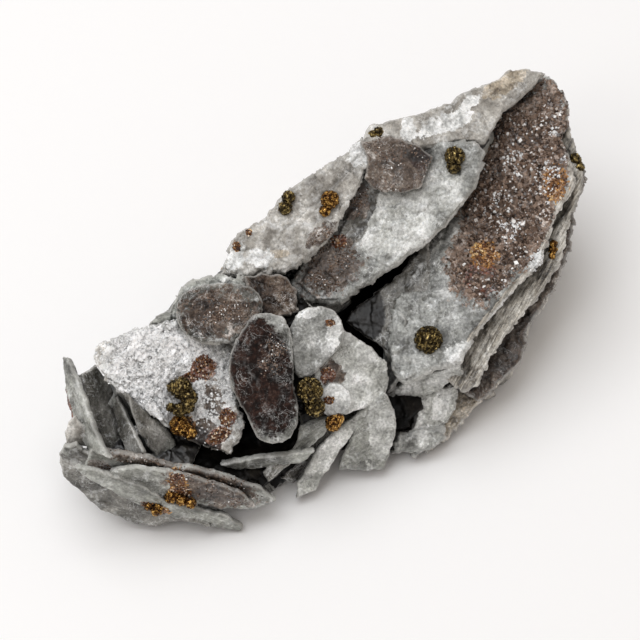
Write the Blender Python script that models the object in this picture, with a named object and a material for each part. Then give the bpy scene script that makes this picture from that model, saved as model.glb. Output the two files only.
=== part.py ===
"""A calcite cluster: one grown mass of calcite plates and blades, with beads of pyrite seated on it.

The calcite is drawn on sheets 128 mm square. The front sheet is seen from 55 degrees above the table, square to the
large faces. The rear sheet is seen from behind, and the plan from straight above. A place on a sheet is (across, down)
in mm from its upper left corner. A plate is an outline on a sheet, the height of its middle above the table, the way
it faces (degrees turned to the right and up from the sheet's viewer) and its thickness.
"""

import math

import bmesh
import bpy
from mathutils import Matrix, Vector

MM = 0.001
SHEET_MIDDLE = 64.0
SHEET_LIFT = 20.0
LONG_AXIS_TURN = math.radians(-45)
ORIGIN_SHIFT = Vector((-2.3, 1.0, 0.0))
SEAT_GAP = 0.3
TABLE_SIDE = 300.0

CALCITE_COLOUR = (0.36, 0.35, 0.34, 1)
PYRITE_COLOUR = (0.20, 0.15, 0.06, 1)


class Sheet:
    """A drawing sheet: across, up and out are its axes in the specimen's own frame."""

    def __init__(self, elevation, turn):
        slope = math.radians(elevation)
        heading = Matrix.Rotation(LONG_AXIS_TURN + math.radians(turn), 3, "Z")
        self.across = heading @ Vector((1, 0, 0))
        self.up = heading @ Vector((0, math.sin(slope), math.cos(slope)))
        self.out = heading @ Vector((0, -math.cos(slope), math.sin(slope)))

    def at(self, x, y, height):
        """The point that shows at (x, y) on the sheet and lies at this height above the table."""
        flat = (x - SHEET_MIDDLE) * self.across + (SHEET_MIDDLE - y) * self.up
        rise = (height - SHEET_LIFT - flat.z) / self.out.z
        return flat + rise * self.out + Vector((0, 0, SHEET_LIFT)) + ORIGIN_SHIFT

    def facing(self, right, up):
        """The unit normal turned this many degrees right and up from facing the viewer."""
        lean = math.tan(math.radians(right)) * self.across + math.tan(math.radians(up)) * self.up
        return (lean + self.out).normalized()

    def on_plane(self, x, y, point, normal):
        """The point of a plane that shows at (x, y)."""
        start = self.at(x, y, SHEET_LIFT)
        return start + self.out * ((point - start).dot(normal) / self.out.dot(normal))


FRONT = Sheet(elevation=55, turn=0)
REAR = Sheet(elevation=30, turn=225)
PLAN = Sheet(elevation=90, turn=0)

# Each growth: sheet, outline, height of its middle, (right, up) it faces, thickness, bevel, depth below the rim.
LEFT_CUP = {
    "outer petal": (
        FRONT,
        [(12.0, 90.4), (13.0, 88.9), (15.4, 88.7), (18.0, 90.4), (22.0, 95.6), (28.0, 98.6), (35.0, 101.2),
         (42.6, 105.0), (36.0, 103.8), (31.0, 105.1), (26.0, 104.2), (20.0, 101.6), (16.0, 98.0), (12.6, 95.0)],
        10.0, (-8, -42), 2.4, 1.0, None,
    ),
    "pale petal edge": (
        FRONT,
        [(15.0, 93.2), (20.0, 94.0), (28.0, 96.8), (34.0, 100.2), (40.0, 101.6), (45.0, 102.8), (48.6, 105.0),
         (48.0, 106.0), (43.0, 105.2), (36.0, 103.6), (30.0, 101.6), (24.0, 98.8), (18.0, 95.6)],
        9.0, (0, -52), 1.8, 0.7, None,
    ),
    "inner petal": (
        FRONT,
        [(18.4, 89.6), (22.0, 90.0), (30.0, 91.2), (34.0, 92.8), (40.0, 93.4), (48.0, 96.0), (52.4, 97.6),
         (55.4, 100.0), (51.0, 101.6), (44.0, 101.4), (38.0, 100.0), (30.0, 98.0), (22.0, 94.8), (17.0, 92.8)],
        11.5, (4, -42), 2.4, 0.9, None,
    ),
    "lens on the inner petal": (
        FRONT,
        [(22.0, 94.0), (26.0, 93.2), (34.0, 94.0), (42.0, 96.2), (48.6, 98.4), (51.2, 101.2), (44.0, 101.4),
         (36.0, 99.8), (28.0, 97.2)],
        12.4, (2, -48), 1.8, 0.7, None,
    ),
    "left wall": (
        FRONT,
        [(12.8, 71.4), (13.8, 71.6), (14.8, 74.0), (16.2, 77.6), (17.8, 82.0), (19.0, 85.6), (20.6, 88.6),
         (22.0, 91.4), (18.4, 90.2), (16.2, 87.0), (15.0, 84.4), (13.8, 80.0), (13.0, 74.0)],
        20.6, (-58, 8), 1.8, 0.6, None,
    ),
    "chip outside the left wall": (
        FRONT,
        [(13.6, 88.8), (13.2, 86.4), (13.8, 84.2), (15.2, 83.0), (17.4, 86.0), (18.4, 89.4)],
        19.4, (-20, -20), 1.8, 0.6, None,
    ),
    "back petal": (
        FRONT,
        [(16.4, 74.8), (18.0, 73.8), (19.0, 72.9), (22.0, 77.0), (24.4, 82.0), (26.0, 88.0), (22.0, 91.6),
         (18.6, 88.0), (17.0, 82.0)],
        16.6, (34, 8), 1.8, 0.7, None,
    ),
    "standing blade": (
        FRONT,
        [(22.4, 79.6), (23.6, 79.2), (25.0, 82.0), (26.8, 86.0), (28.8, 90.0), (29.4, 93.0), (26.0, 92.0),
         (23.8, 86.0)],
        16.4, (-48, -5), 1.5, 0.5, None,
    ),
    "cup floor": (
        PLAN, [(17.0, 78.0), (19.0, 90.0), (28.0, 96.0), (38.0, 95.0), (40.0, 84.0), (30.0, 74.0), (20.0, 73.0)],
        12.0, (0, 0), 1.0, 2.0, 14.0,
    ),
    "right petal": (
        FRONT,
        [(25.6, 78.4), (28.0, 81.0), (30.4, 83.2), (32.6, 84.4), (34.6, 87.4), (36.2, 91.2), (36.0, 93.6),
         (31.6, 92.6), (28.8, 88.0), (26.6, 83.0)],
        15.6, (30, -12), 1.8, 0.7, None,
    ),
}
PALE_SHELF = {
    "pale plate": (
        FRONT,
        [(18.8, 71.0), (19.6, 69.2), (21.6, 68.0), (26.0, 66.2), (30.0, 65.2), (36.0, 63.6), (43.0, 65.0),
         (48.0, 68.0), (46.6, 73.0), (47.2, 79.0), (49.0, 84.4), (48.2, 87.2), (45.6, 90.8), (41.0, 89.2),
         (38.0, 88.0), (34.4, 86.0), (29.0, 82.4), (24.0, 78.4), (21.2, 75.8), (19.2, 73.2)],
        22.9, (3, -8), 3.0, 1.2, None,
    ),
    "mass under the pale plate": (
        FRONT, [(23.0, 70.4), (31.0, 66.2), (36.0, 64.8), (45.0, 66.0), (46.0, 78.0), (42.0, 84.0), (34.0, 82.0),
                (26.0, 76.6)],
        23.4, (3, -8), 1.0, 1.6, 17.0,
    ),
    "grey plate behind the dark discs": (
        FRONT,
        [(30.0, 65.2), (33.0, 62.4), (35.2, 60.0), (37.0, 57.4), (40.0, 56.0), (44.0, 55.1), (50.0, 56.0),
         (52.6, 60.0), (48.0, 65.6), (38.0, 66.4)],
        31.0, (-5, 15), 3.0, 1.2, 9.0,
    ),
    "lying dark disc": (
        FRONT,
        [(35.2, 61.8), (37.0, 58.6), (41.0, 57.0), (47.0, 56.7), (51.0, 58.0), (52.6, 60.8), (51.6, 64.4),
         (48.0, 67.8), (43.0, 69.0), (39.0, 68.2), (36.2, 65.8)],
        33.4, (0, 12), 2.4, 1.0, None,
    ),
    "standing dark disc": (
        FRONT,
        [(51.0, 63.0), (54.4, 62.8), (57.0, 63.8), (58.4, 68.0), (58.8, 73.0), (58.8, 77.0), (59.7, 81.0),
         (59.6, 84.2), (58.0, 87.4), (55.6, 88.6), (52.4, 88.0), (50.8, 86.2), (49.4, 83.0), (47.0, 79.0),
         (45.8, 75.0), (46.4, 70.0), (48.6, 65.8)],
        26.8, (8, -12), 2.8, 1.1, None,
    ),
    "foot of the standing disc": (
        FRONT, [(49.0, 67.0), (57.0, 65.6), (58.0, 78.0), (54.0, 83.0), (49.0, 78.0)],
        26.8, (8, -12), 1.0, 1.0, 14.0,
    ),
    "dark chip at the ridge foot": (
        FRONT,
        [(49.0, 55.4), (52.4, 54.6), (57.2, 55.4), (59.2, 58.0), (59.6, 62.4), (55.0, 64.0), (51.6, 62.6),
         (50.0, 59.0)],
        33.2, (10, 4), 2.4, 0.9, 5.0,
    ),
    "mass under the discs": (
        FRONT,
        [(34.0, 63.0), (49.0, 58.0), (60.0, 60.0), (67.0, 66.0), (72.0, 73.0), (67.0, 80.0), (57.0, 81.0),
         (49.0, 76.0), (37.0, 70.0)],
        24.8, (5, -6), 1.0, 4.0, 20.0,
    ),
}
MIDDLE_FAN = {
    "oval plate": (
        FRONT,
        [(60.0, 62.4), (63.6, 61.2), (67.0, 62.4), (68.8, 65.6), (68.0, 69.2), (65.2, 72.2), (62.4, 75.0),
         (59.6, 75.4), (58.2, 72.0), (58.0, 66.0)],
        29.6, (12, -3), 2.4, 1.0, None,
    ),
    "plate right of the oval": (
        FRONT,
        [(67.0, 63.6), (69.0, 66.0), (72.0, 68.0), (75.0, 70.0), (77.2, 72.4), (77.8, 75.6), (77.0, 79.0),
         (73.0, 81.4), (69.0, 83.0), (65.0, 81.0), (62.0, 76.0), (63.0, 69.0)],
        22.0, (22, -8), 2.6, 1.0, 6.0,
    ),
    "fan plate": (
        FRONT,
        [(71.2, 82.4), (74.0, 80.4), (76.8, 78.4), (78.0, 79.8), (78.8, 82.0), (79.4, 84.8), (79.0, 87.0),
         (77.6, 91.6), (76.8, 93.8), (73.6, 94.2), (68.6, 93.8), (69.8, 91.6), (70.8, 89.4), (71.4, 86.0)],
        9.4, (10, -30), 2.2, 0.9, None,
    ),
    "right splayed blade": (
        FRONT,
        [(72.0, 82.4), (68.6, 84.6), (66.0, 87.0), (64.0, 89.0), (62.4, 91.0), (61.6, 93.0), (59.6, 96.4),
         (59.2, 99.7), (60.8, 99.0), (63.0, 98.0), (64.6, 95.4), (66.6, 92.4), (69.4, 88.2), (71.2, 85.4)],
        7.8, (20, -25), 2.0, 0.8, None,
    ),
    "left splayed blade": (
        FRONT,
        [(60.0, 85.0), (64.4, 83.2), (66.4, 82.4), (65.2, 86.4), (61.0, 90.2), (57.0, 93.6), (53.6, 96.3),
         (52.5, 94.4), (56.0, 91.6), (58.4, 90.4), (59.4, 88.0)],
        12.5, (15, -25), 2.0, 0.8, None,
    ),
    "dark blade between": (
        FRONT,
        [(60.0, 88.0), (63.6, 86.0), (67.0, 86.0), (66.0, 90.6), (62.6, 94.0), (58.6, 96.6), (56.0, 95.6),
         (58.0, 92.0)],
        7.4, (10, -25), 1.8, 0.7, None,
    ),
    "edge blade over the hollow": (
        FRONT,
        [(44.0, 92.8), (49.0, 91.8), (53.0, 91.1), (58.4, 90.6), (63.0, 90.0), (61.0, 92.0), (54.0, 93.2),
         (48.0, 93.6)],
        11.2, (4, -52), 1.6, 0.4, None,
    ),
    "small round plate": (
        FRONT,
        [(63.6, 79.0), (65.0, 77.0), (67.4, 76.6), (69.6, 78.0), (70.2, 80.4), (69.0, 82.8), (66.4, 83.4),
         (64.2, 82.0)],
        20.6, (5, -10), 2.0, 0.8, 4.0,
    ),
    "mass under the fan": (
        FRONT, [(60.0, 83.0), (70.0, 78.0), (77.0, 81.0), (76.0, 90.0), (70.0, 92.0), (62.0, 92.0)],
        11.6, (12, -24), 1.0, 2.0, 14.0,
    ),
}
RIDGE = {
    "left ridge plate": (
        FRONT,
        [(44.0, 55.2), (45.6, 51.0), (46.4, 48.0), (49.0, 45.6), (52.4, 44.0), (56.0, 39.4), (60.0, 36.4),
         (65.0, 33.2), (70.0, 30.0), (72.4, 27.4), (75.0, 31.0), (72.0, 37.0), (68.6, 43.0), (66.0, 48.0),
         (62.0, 51.6), (59.0, 54.0), (54.0, 55.2), (48.0, 56.0)],
        37.4, (-2, 3), 4.0, 1.6, None,
    ),
    "right ridge plate": (
        FRONT,
        [(60.0, 52.4), (62.0, 48.0), (66.0, 40.0), (69.0, 33.0), (75.0, 28.0), (80.0, 27.0), (92.0, 28.2),
         (95.6, 28.6), (97.2, 31.0), (96.0, 34.4), (95.0, 37.6), (93.2, 40.2), (89.0, 45.6), (84.0, 50.0),
         (80.4, 52.4), (74.4, 56.6), (70.4, 59.4), (68.4, 61.2), (64.0, 60.6), (60.0, 60.6), (57.6, 57.0)],
        34.3, (-5, 3), 4.5, 1.6, None,
    ),
    "disc on the ridge": (
        FRONT,
        [(72.0, 28.2), (74.0, 27.4), (78.0, 27.2), (84.0, 29.2), (86.4, 31.4), (85.2, 34.5), (84.0, 37.8),
         (80.6, 38.4), (77.0, 38.6), (74.8, 38.0), (72.8, 35.8), (73.6, 32.6)],
        44.2, (3, -5), 2.6, 0.8, 5.0,
    ),
    "crest": (
        FRONT,
        [(72.2, 28.2), (73.8, 25.2), (82.0, 23.4), (90.0, 20.6), (93.0, 18.2), (98.4, 16.4), (101.6, 14.2),
         (105.0, 13.7), (109.0, 14.8), (105.0, 19.0), (100.6, 22.6), (98.0, 27.0), (97.0, 28.8), (91.0, 29.0),
         (86.0, 30.0), (79.0, 29.6)],
        44.2, (17, 19), 4.4, 1.1, None,
    ),
    "mass under the left ridge plate": (
        FRONT, [(47.0, 50.6), (56.0, 42.4), (68.0, 33.4), (72.0, 35.0), (66.0, 46.0), (60.0, 52.0), (50.0, 54.4)],
        35.8, (-2, 3), 1.0, 1.5, 12.0,
    ),
    "mass under the ridge": (
        FRONT,
        [(48.0, 51.0), (57.0, 43.0), (67.0, 36.0), (75.0, 28.6), (90.0, 22.6), (101.0, 18.0), (100.0, 27.0),
         (92.0, 38.0), (83.0, 46.0), (73.0, 52.0), (58.0, 55.0)],
        36.0, (0, 5), 1.0, 3.0, 28.0,
    ),
}
RIGHT_SLABS = {
    "druse slab": (
        FRONT,
        [(109.0, 14.8), (111.2, 16.4), (112.4, 18.4), (114.2, 22.0), (113.4, 25.0), (112.4, 28.0),
         (114.0, 31.6), (115.2, 36.0), (114.2, 39.0), (111.2, 43.0), (110.0, 47.0), (108.0, 53.0), (104.0, 56.4),
         (101.0, 60.0), (98.0, 63.6), (95.0, 67.0), (93.6, 70.0), (92.4, 72.6), (88.0, 73.8), (84.0, 75.4),
         (80.4, 76.8), (78.4, 74.0), (77.6, 68.0), (79.0, 60.0), (84.0, 46.0), (91.0, 32.0), (98.0, 21.0),
         (104.0, 16.4)],
        29.3, (-8.5, 19), 4.0, 1.5, None,
    ),
    "second slab": (
        FRONT,
        [(113.6, 25.0), (115.2, 30.0), (116.6, 36.0), (115.6, 40.0), (114.0, 44.0), (113.0, 49.0), (111.4, 54.0),
         (107.0, 60.0), (102.0, 66.0), (98.0, 71.0), (97.0, 74.0), (95.6, 77.0), (92.4, 78.4), (89.0, 76.0),
         (88.0, 66.0), (94.0, 50.0), (104.0, 30.0)],
        23.4, (-8, 17), 3.4, 1.4, None,
    ),
    "third slab": (
        FRONT,
        [(114.2, 28.6), (116.4, 31.6), (117.8, 35.8), (116.4, 38.8), (114.8, 41.4), (115.0, 44.6), (114.0, 50.0),
         (112.4, 54.4), (110.4, 58.6), (107.0, 63.6), (105.0, 67.4), (105.6, 68.8), (104.0, 73.0), (99.6, 77.0),
         (98.0, 79.0), (95.6, 80.4), (91.0, 78.0), (92.0, 68.0), (100.0, 50.0), (108.0, 34.0)],
        18.0, (-5, 12), 3.8, 1.6, None,
    ),
    "lowest slab": (
        FRONT,
        [(110.0, 30.0), (115.0, 37.0), (114.4, 43.0), (114.0, 49.0), (111.0, 57.6), (107.0, 64.0), (104.4, 70.0),
         (101.6, 75.4), (97.0, 79.6), (92.0, 81.0), (90.0, 74.0), (98.0, 56.0), (106.0, 40.0)],
        11.0, (0, 8), 4.6, 1.8, 8.0,
    ),
    "mass under the slabs": (
        FRONT,
        [(85.0, 68.0), (83.0, 57.0), (88.0, 47.0), (96.0, 36.0), (103.0, 25.0), (109.0, 25.0), (111.0, 36.0),
         (109.0, 48.0), (101.0, 60.0), (94.0, 69.0)],
        26.0, (-8, 15), 1.0, 4.0, 26.0,
    ),
    "plate under the slab's foot": (
        FRONT,
        [(77.0, 78.4), (80.0, 76.6), (84.0, 75.0), (88.0, 73.6), (92.0, 72.6), (92.6, 74.6), (89.0, 77.0),
         (84.0, 79.8), (80.0, 81.3), (78.0, 80.8)],
        13.2, (0, -46), 2.0, 0.8, 4.0,
    ),
    "foot face": (
        FRONT,
        [(82.4, 80.4), (85.0, 79.0), (88.0, 77.2), (91.0, 76.8), (91.6, 79.0), (91.0, 81.8), (89.4, 84.4),
         (86.8, 86.4), (83.4, 88.2), (82.0, 86.0)],
        7.6, (15, -15), 2.4, 1.0, 5.0,
    ),
    "rounded foot": (
        FRONT,
        [(79.6, 86.6), (83.0, 85.8), (86.0, 85.6), (89.0, 85.4), (89.4, 87.6), (86.0, 90.0), (83.0, 91.4),
         (80.6, 90.4), (78.4, 90.7), (78.2, 88.4)],
        3.6, (5, -20), 4.0, 1.4, 6.0,
    ),
    "beige foot": (
        FRONT,
        [(89.0, 76.0), (94.0, 74.0), (99.8, 76.8), (95.6, 80.8), (92.8, 84.2), (89.0, 88.2), (85.4, 90.2),
         (83.4, 87.0), (87.0, 82.0)],
        4.4, (5, 0), 4.0, 1.0, 6.0,
    ),
    "wall beside the hollow": (
        FRONT,
        [(78.2, 61.6), (80.0, 62.0), (81.2, 64.0), (80.8, 68.0), (80.2, 72.0), (79.4, 76.0), (77.8, 78.6),
         (76.6, 75.0), (77.0, 70.0), (77.4, 65.0)],
        18.9, (-42, 0), 1.8, 0.6, None,
    ),
}
BASE = {
    "left base": (
        PLAN,
        [(20.0, 76.0), (22.0, 90.0), (34.0, 97.0), (50.0, 95.0), (62.0, 89.0), (70.0, 78.0), (66.0, 68.0),
         (52.0, 62.0), (34.0, 67.0)],
        8.0, (0, 0), 1.0, 3.0, 10.0,
    ),
    "right base": (
        PLAN,
        [(66.0, 84.0), (82.0, 81.0), (96.0, 67.0), (108.0, 48.0), (112.0, 34.0), (108.0, 21.0), (96.0, 20.0),
         (78.0, 33.0), (62.0, 50.0), (58.0, 66.0)],
        10.0, (0, 0), 2.0, 2.0, 12.0,
    ),
}
REAR_PLATES = {
    "rear mass right": (
        REAR,
        [(6.0, 60.0), (20.0, 57.0), (40.0, 56.0), (52.0, 61.0), (60.0, 68.0), (52.0, 80.0), (36.0, 86.0),
         (16.0, 82.0), (6.0, 72.0)],
        21.4, (0, -10), 1.0, 3.0, 16.0,
    ),
    "rear mass left": (
        REAR,
        [(54.0, 64.0), (70.0, 66.0), (86.0, 69.0), (98.0, 72.0), (96.0, 82.0), (80.0, 88.0), (62.0, 86.0),
         (52.0, 76.0)],
        18.6, (2, -8), 1.0, 3.0, 20.0,
    ),
    "rear ridge slab": (
        REAR,
        [(3.4, 57.0), (12.0, 54.4), (24.0, 53.6), (35.0, 53.6), (43.0, 56.0), (48.0, 60.0), (44.0, 66.0),
         (34.0, 70.0), (22.0, 68.0), (12.0, 71.0), (5.0, 66.0)],
        28.2, (0, -10), 3.0, 1.3, 5.0,
    ),
    "rear end slab": (
        REAR,
        [(2.0, 63.0), (10.0, 60.0), (20.0, 64.0), (26.0, 71.0), (24.0, 79.0), (16.0, 84.0), (8.0, 81.0),
         (3.0, 74.0)],
        17.6, (-14, -12), 3.2, 1.4, 6.0,
    ),
    "rear middle slab": (
        REAR,
        [(20.0, 67.0), (30.0, 64.0), (42.0, 66.0), (53.0, 62.0), (62.0, 69.0), (57.0, 76.0), (48.0, 79.0),
         (39.0, 85.0), (28.0, 80.0), (22.0, 74.0)],
        21.0, (4, -14), 3.2, 1.4, 6.0,
    ),
    "rear blade across": (
        REAR,
        [(42.0, 60.0), (50.0, 57.0), (62.0, 61.0), (72.0, 66.0), (81.0, 73.0), (72.0, 73.6), (60.0, 70.0),
         (49.0, 66.0)],
        27.6, (10, -4), 2.4, 1.0, 4.0,
    ),
    "rear low slab": (
        REAR,
        [(25.0, 82.0), (36.0, 78.0), (48.0, 81.0), (60.0, 77.0), (66.0, 84.0), (61.0, 91.0), (47.0, 94.0),
         (33.0, 92.0), (26.0, 88.0)],
        9.4, (-4, -20), 3.2, 1.4, 6.0,
    ),
    "rear upper left plate": (
        REAR,
        [(55.0, 59.0), (64.0, 61.0), (74.0, 64.0), (83.0, 66.0), (89.0, 69.0), (84.0, 73.0), (72.0, 74.0),
         (62.0, 71.0), (55.0, 66.0)],
        26.6, (4, -6), 2.6, 1.1, 5.0,
    ),
    "rear lower left plate": (
        REAR,
        [(60.0, 74.0), (70.0, 70.0), (82.0, 73.0), (92.0, 71.0), (98.0, 77.0), (91.0, 84.0), (80.0, 88.0),
         (68.0, 86.0), (61.0, 81.0)],
        15.6, (2, -16), 3.0, 1.3, 6.0,
    ),
    "rear left blade": (
        REAR,
        [(87.0, 66.0), (95.0, 65.0), (103.0, 70.0), (107.0, 76.0), (103.0, 82.0), (95.0, 80.0), (89.0, 74.0)],
        19.6, (14, -10), 2.4, 1.0, 6.0,
    ),
    "rear left foot": (
        REAR,
        [(70.0, 87.0), (82.0, 84.0), (94.0, 82.0), (102.0, 85.0), (97.0, 91.0), (86.0, 95.0), (74.0, 94.0)],
        6.8, (10, -22), 3.0, 1.2, 6.0,
    ),
    "rear right foot": (
        REAR,
        [(4.0, 81.0), (12.0, 78.0), (20.0, 80.0), (28.0, 86.0), (25.0, 92.0), (16.0, 91.0), (7.0, 88.0)],
        6.0, (-14, -20), 3.2, 1.3, 6.0,
    ),
}

# Each bead cluster: lumps as (across, down, height, radius) on the front sheet.
PYRITE_BEADS = {
    "pyrite_on_pale_plate": [(36.2, 77.6, 24.4, 2.9), (38.0, 80.4, 22.2, 2.4), (34.8, 81.2, 21.7, 1.8)],
    "pyrite_below_pale_plate": [(36.0, 85.0, 19.0, 2.1), (38.0, 86.4, 17.9, 1.5)],
    "pyrite_on_oval_plate": [(62.0, 78.0, 24.8, 2.7), (63.0, 81.4, 21.8, 2.1)],
    "pyrite_on_small_plate": [(66.6, 84.6, 18.6, 1.7), (67.8, 83.8, 19.0, 1.2)],
    "pyrite_pair_left_on_ridge": [(57.7, 39.5, 42.0, 1.4), (57.0, 41.6, 40.8, 1.5)],
    "pyrite_pair_right_on_ridge": [(66.0, 40.0, 41.6, 1.9), (65.0, 42.2, 40.2, 1.2)],
    "pyrite_beside_disc": [(90.9, 31.3, 45.1, 2.1), (90.7, 33.4, 43.6, 1.5)],
    "pyrite_on_crest": [(75.5, 26.6, 48.9, 1.1), (74.0, 27.0, 48.6, 0.9)],
    "pyrite_ball_on_druse_slab": [(85.6, 68.0, 23.4, 2.9)],
    "pyrite_at_slab_edge": [(115.1, 31.8, 33.2, 1.3), (115.9, 33.4, 32.4, 1.2)],
    "pyrite_low_on_slabs": [(110.7, 48.8, 27.7, 0.9), (110.6, 50.0, 27.2, 1.0), (110.4, 51.2, 26.7, 0.8)],
    "pyrite_on_inner_petal": [(34.4, 99.2, 11.0, 1.5), (36.3, 99.9, 10.8, 1.2), (38.2, 100.5, 10.6, 1.2)],
    "pyrite_on_outer_petal": [(31.4, 101.8, 8.6, 1.4), (29.8, 101.0, 9.0, 1.1)],
}


def stone(colour, roughness, metallic, name):
    """A plain material."""
    made = bpy.data.materials.new(name)
    made.use_nodes = True
    shader = made.node_tree.nodes["Principled BSDF"]
    shader.inputs["Base Color"].default_value = colour
    shader.inputs["Roughness"].default_value = roughness
    shader.inputs["Metallic"].default_value = metallic
    made.diffuse_color = colour
    return made


def placed(name, bm, home):
    """An object in a collection from a bmesh drawn in mm."""
    bm.normal_update()
    bmesh.ops.recalc_face_normals(bm, faces=bm.faces)
    bm.transform(Matrix.Scale(MM, 4))
    mesh = bpy.data.meshes.new(name)
    bm.to_mesh(mesh)
    bm.free()
    made = bpy.data.objects.new(name, mesh)
    home.objects.link(made)
    return made


def hidden_group(name):
    """A collection for shapes that only add to or cut another."""
    home = bpy.data.collections.new(name)
    bpy.context.scene.collection.children.link(home)
    return home


def as_guide(made):
    made.hide_render = True
    made.display_type = "WIRE"


def plate(name, growth, home):
    """A closed plate with sloping edges: its rim is the outline, with one face raised above it and one sunk below."""
    sheet, outline, height, faces, thick, bevel, below = growth
    normal = sheet.facing(*faces)
    across = sum(x for x, y in outline) / len(outline)
    down = sum(y for x, y in outline) / len(outline)
    middle = sheet.at(across, down, height)
    bm = bmesh.new()
    rim = [bm.verts.new(sheet.on_plane(x, y, middle, normal)) for x, y in outline]
    for rise in (thick / 2, below or thick / 2):
        face = bm.faces.new(rim)
        face.normal_update()
        if face.normal.dot(normal) < 0:
            face.normal_flip()
        bmesh.ops.inset_individual(bm, faces=[face], thickness=bevel, depth=rise, use_even_offset=True)
        normal = -normal
    as_guide(placed(name, bm, home))


def beads(name, lumps, wider, home):
    """Round lumps, each an icosahedron split once, wider by a margin."""
    made = []
    for index, (across, down, height, radius) in enumerate(lumps):
        bm = bmesh.new()
        bmesh.ops.create_icosphere(bm, subdivisions=2, radius=radius + wider)
        turn = Matrix.Rotation(index + across, 4, (0.3, 1.0, 0.5))
        bm.transform(Matrix.Translation(FRONT.at(across, down, height)) @ turn)
        made.append(placed(f"{name} {index}", bm, home))
    return made


def boolean(made, operation, operand):
    """A join with, or a cut by, an object or a whole collection."""
    step = made.modifiers.new(operation.title(), "BOOLEAN")
    step.operation = operation
    step.solver = "EXACT"
    step.use_self = operation == "UNION"
    if isinstance(operand, bpy.types.Collection):
        step.operand_type = "COLLECTION"
        step.collection = operand
    else:
        step.object = operand


def pyrite():
    """Each bead cluster as one solid, its lumps joined."""
    metal = stone(PYRITE_COLOUR, 0.35, 0.9, "pyrite")
    extra = hidden_group("pyrite lumps")
    for name, lumps in PYRITE_BEADS.items():
        first, *others = beads(name, lumps, 0.0, extra)
        for other in others:
            as_guide(other)
            boolean(first, "UNION", other)
        first.name = name
        first.data.materials.append(metal)


def table_slab():
    """What lies below the table top, to cut the underside flat."""
    bm = bmesh.new()
    bmesh.ops.create_cube(bm, size=TABLE_SIDE)
    bm.transform(Matrix.Translation((0, 0, -TABLE_SIDE / 2)))
    made = placed("table", bm, bpy.context.scene.collection)
    as_guide(made)
    return made


def calcite():
    """Every growth joined into one solid, cut flat below and given a seat for each bead."""
    growths = hidden_group("calcite growths")
    for region in (LEFT_CUP, PALE_SHELF, MIDDLE_FAN, RIDGE, RIGHT_SLABS, REAR_PLATES):
        for name, growth in region.items():
            plate(name, growth, growths)
    for name, growth in BASE.items():
        plate(name, growth, growths)
    body = growths.objects["right base"].copy()
    body.name = "calcite"
    body.hide_render = False
    body.display_type = "TEXTURED"
    growths.objects.unlink(growths.objects["right base"])
    bpy.context.scene.collection.objects.link(body)
    body.data.materials.append(stone(CALCITE_COLOUR, 0.5, 0.0, "calcite"))
    seats = hidden_group("bead seats")
    for name, lumps in PYRITE_BEADS.items():
        for seat in beads(f"{name} seat", lumps, SEAT_GAP, seats):
            as_guide(seat)
    boolean(body, "UNION", growths)
    boolean(body, "DIFFERENCE", seats)
    boolean(body, "DIFFERENCE", table_slab())


def main():
    for old in list(bpy.data.objects):
        bpy.data.objects.remove(old)
    calcite()
    pyrite()


main()
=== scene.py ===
"""The looks of a calcite cluster: plates of milky calcite with dark discs, a brown druse and pyrite beads.

Sizes are in millimetres on the specimen's drawing sheets, 128 mm square, and turn to metres where a mesh is
finished. A place on a sheet is (across, down) from its upper left corner.
"""

import itertools
import math
import random
from typing import NamedTuple

import bmesh
import bpy
import numpy as np
from mathutils import Matrix, Vector
from mathutils.geometry import interpolate_bezier


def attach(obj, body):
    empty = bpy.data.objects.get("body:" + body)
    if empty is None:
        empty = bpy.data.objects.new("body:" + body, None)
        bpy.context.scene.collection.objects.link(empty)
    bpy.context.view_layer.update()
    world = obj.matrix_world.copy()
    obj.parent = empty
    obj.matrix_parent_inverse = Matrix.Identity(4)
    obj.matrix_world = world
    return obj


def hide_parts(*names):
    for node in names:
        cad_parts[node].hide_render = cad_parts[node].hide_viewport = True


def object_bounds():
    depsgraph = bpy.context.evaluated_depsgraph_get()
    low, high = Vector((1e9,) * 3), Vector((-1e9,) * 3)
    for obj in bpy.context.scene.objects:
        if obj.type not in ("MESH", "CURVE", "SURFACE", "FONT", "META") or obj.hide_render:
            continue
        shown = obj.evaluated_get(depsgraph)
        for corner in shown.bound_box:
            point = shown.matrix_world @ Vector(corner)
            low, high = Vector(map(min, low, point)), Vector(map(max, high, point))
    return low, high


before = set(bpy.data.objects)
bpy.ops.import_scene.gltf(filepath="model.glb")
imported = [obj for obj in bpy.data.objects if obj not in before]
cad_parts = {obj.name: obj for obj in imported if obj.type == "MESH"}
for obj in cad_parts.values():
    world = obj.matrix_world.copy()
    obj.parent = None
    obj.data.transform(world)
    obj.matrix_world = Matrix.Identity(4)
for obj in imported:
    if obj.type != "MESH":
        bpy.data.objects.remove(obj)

CAD_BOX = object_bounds()
MM = 0.001


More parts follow.
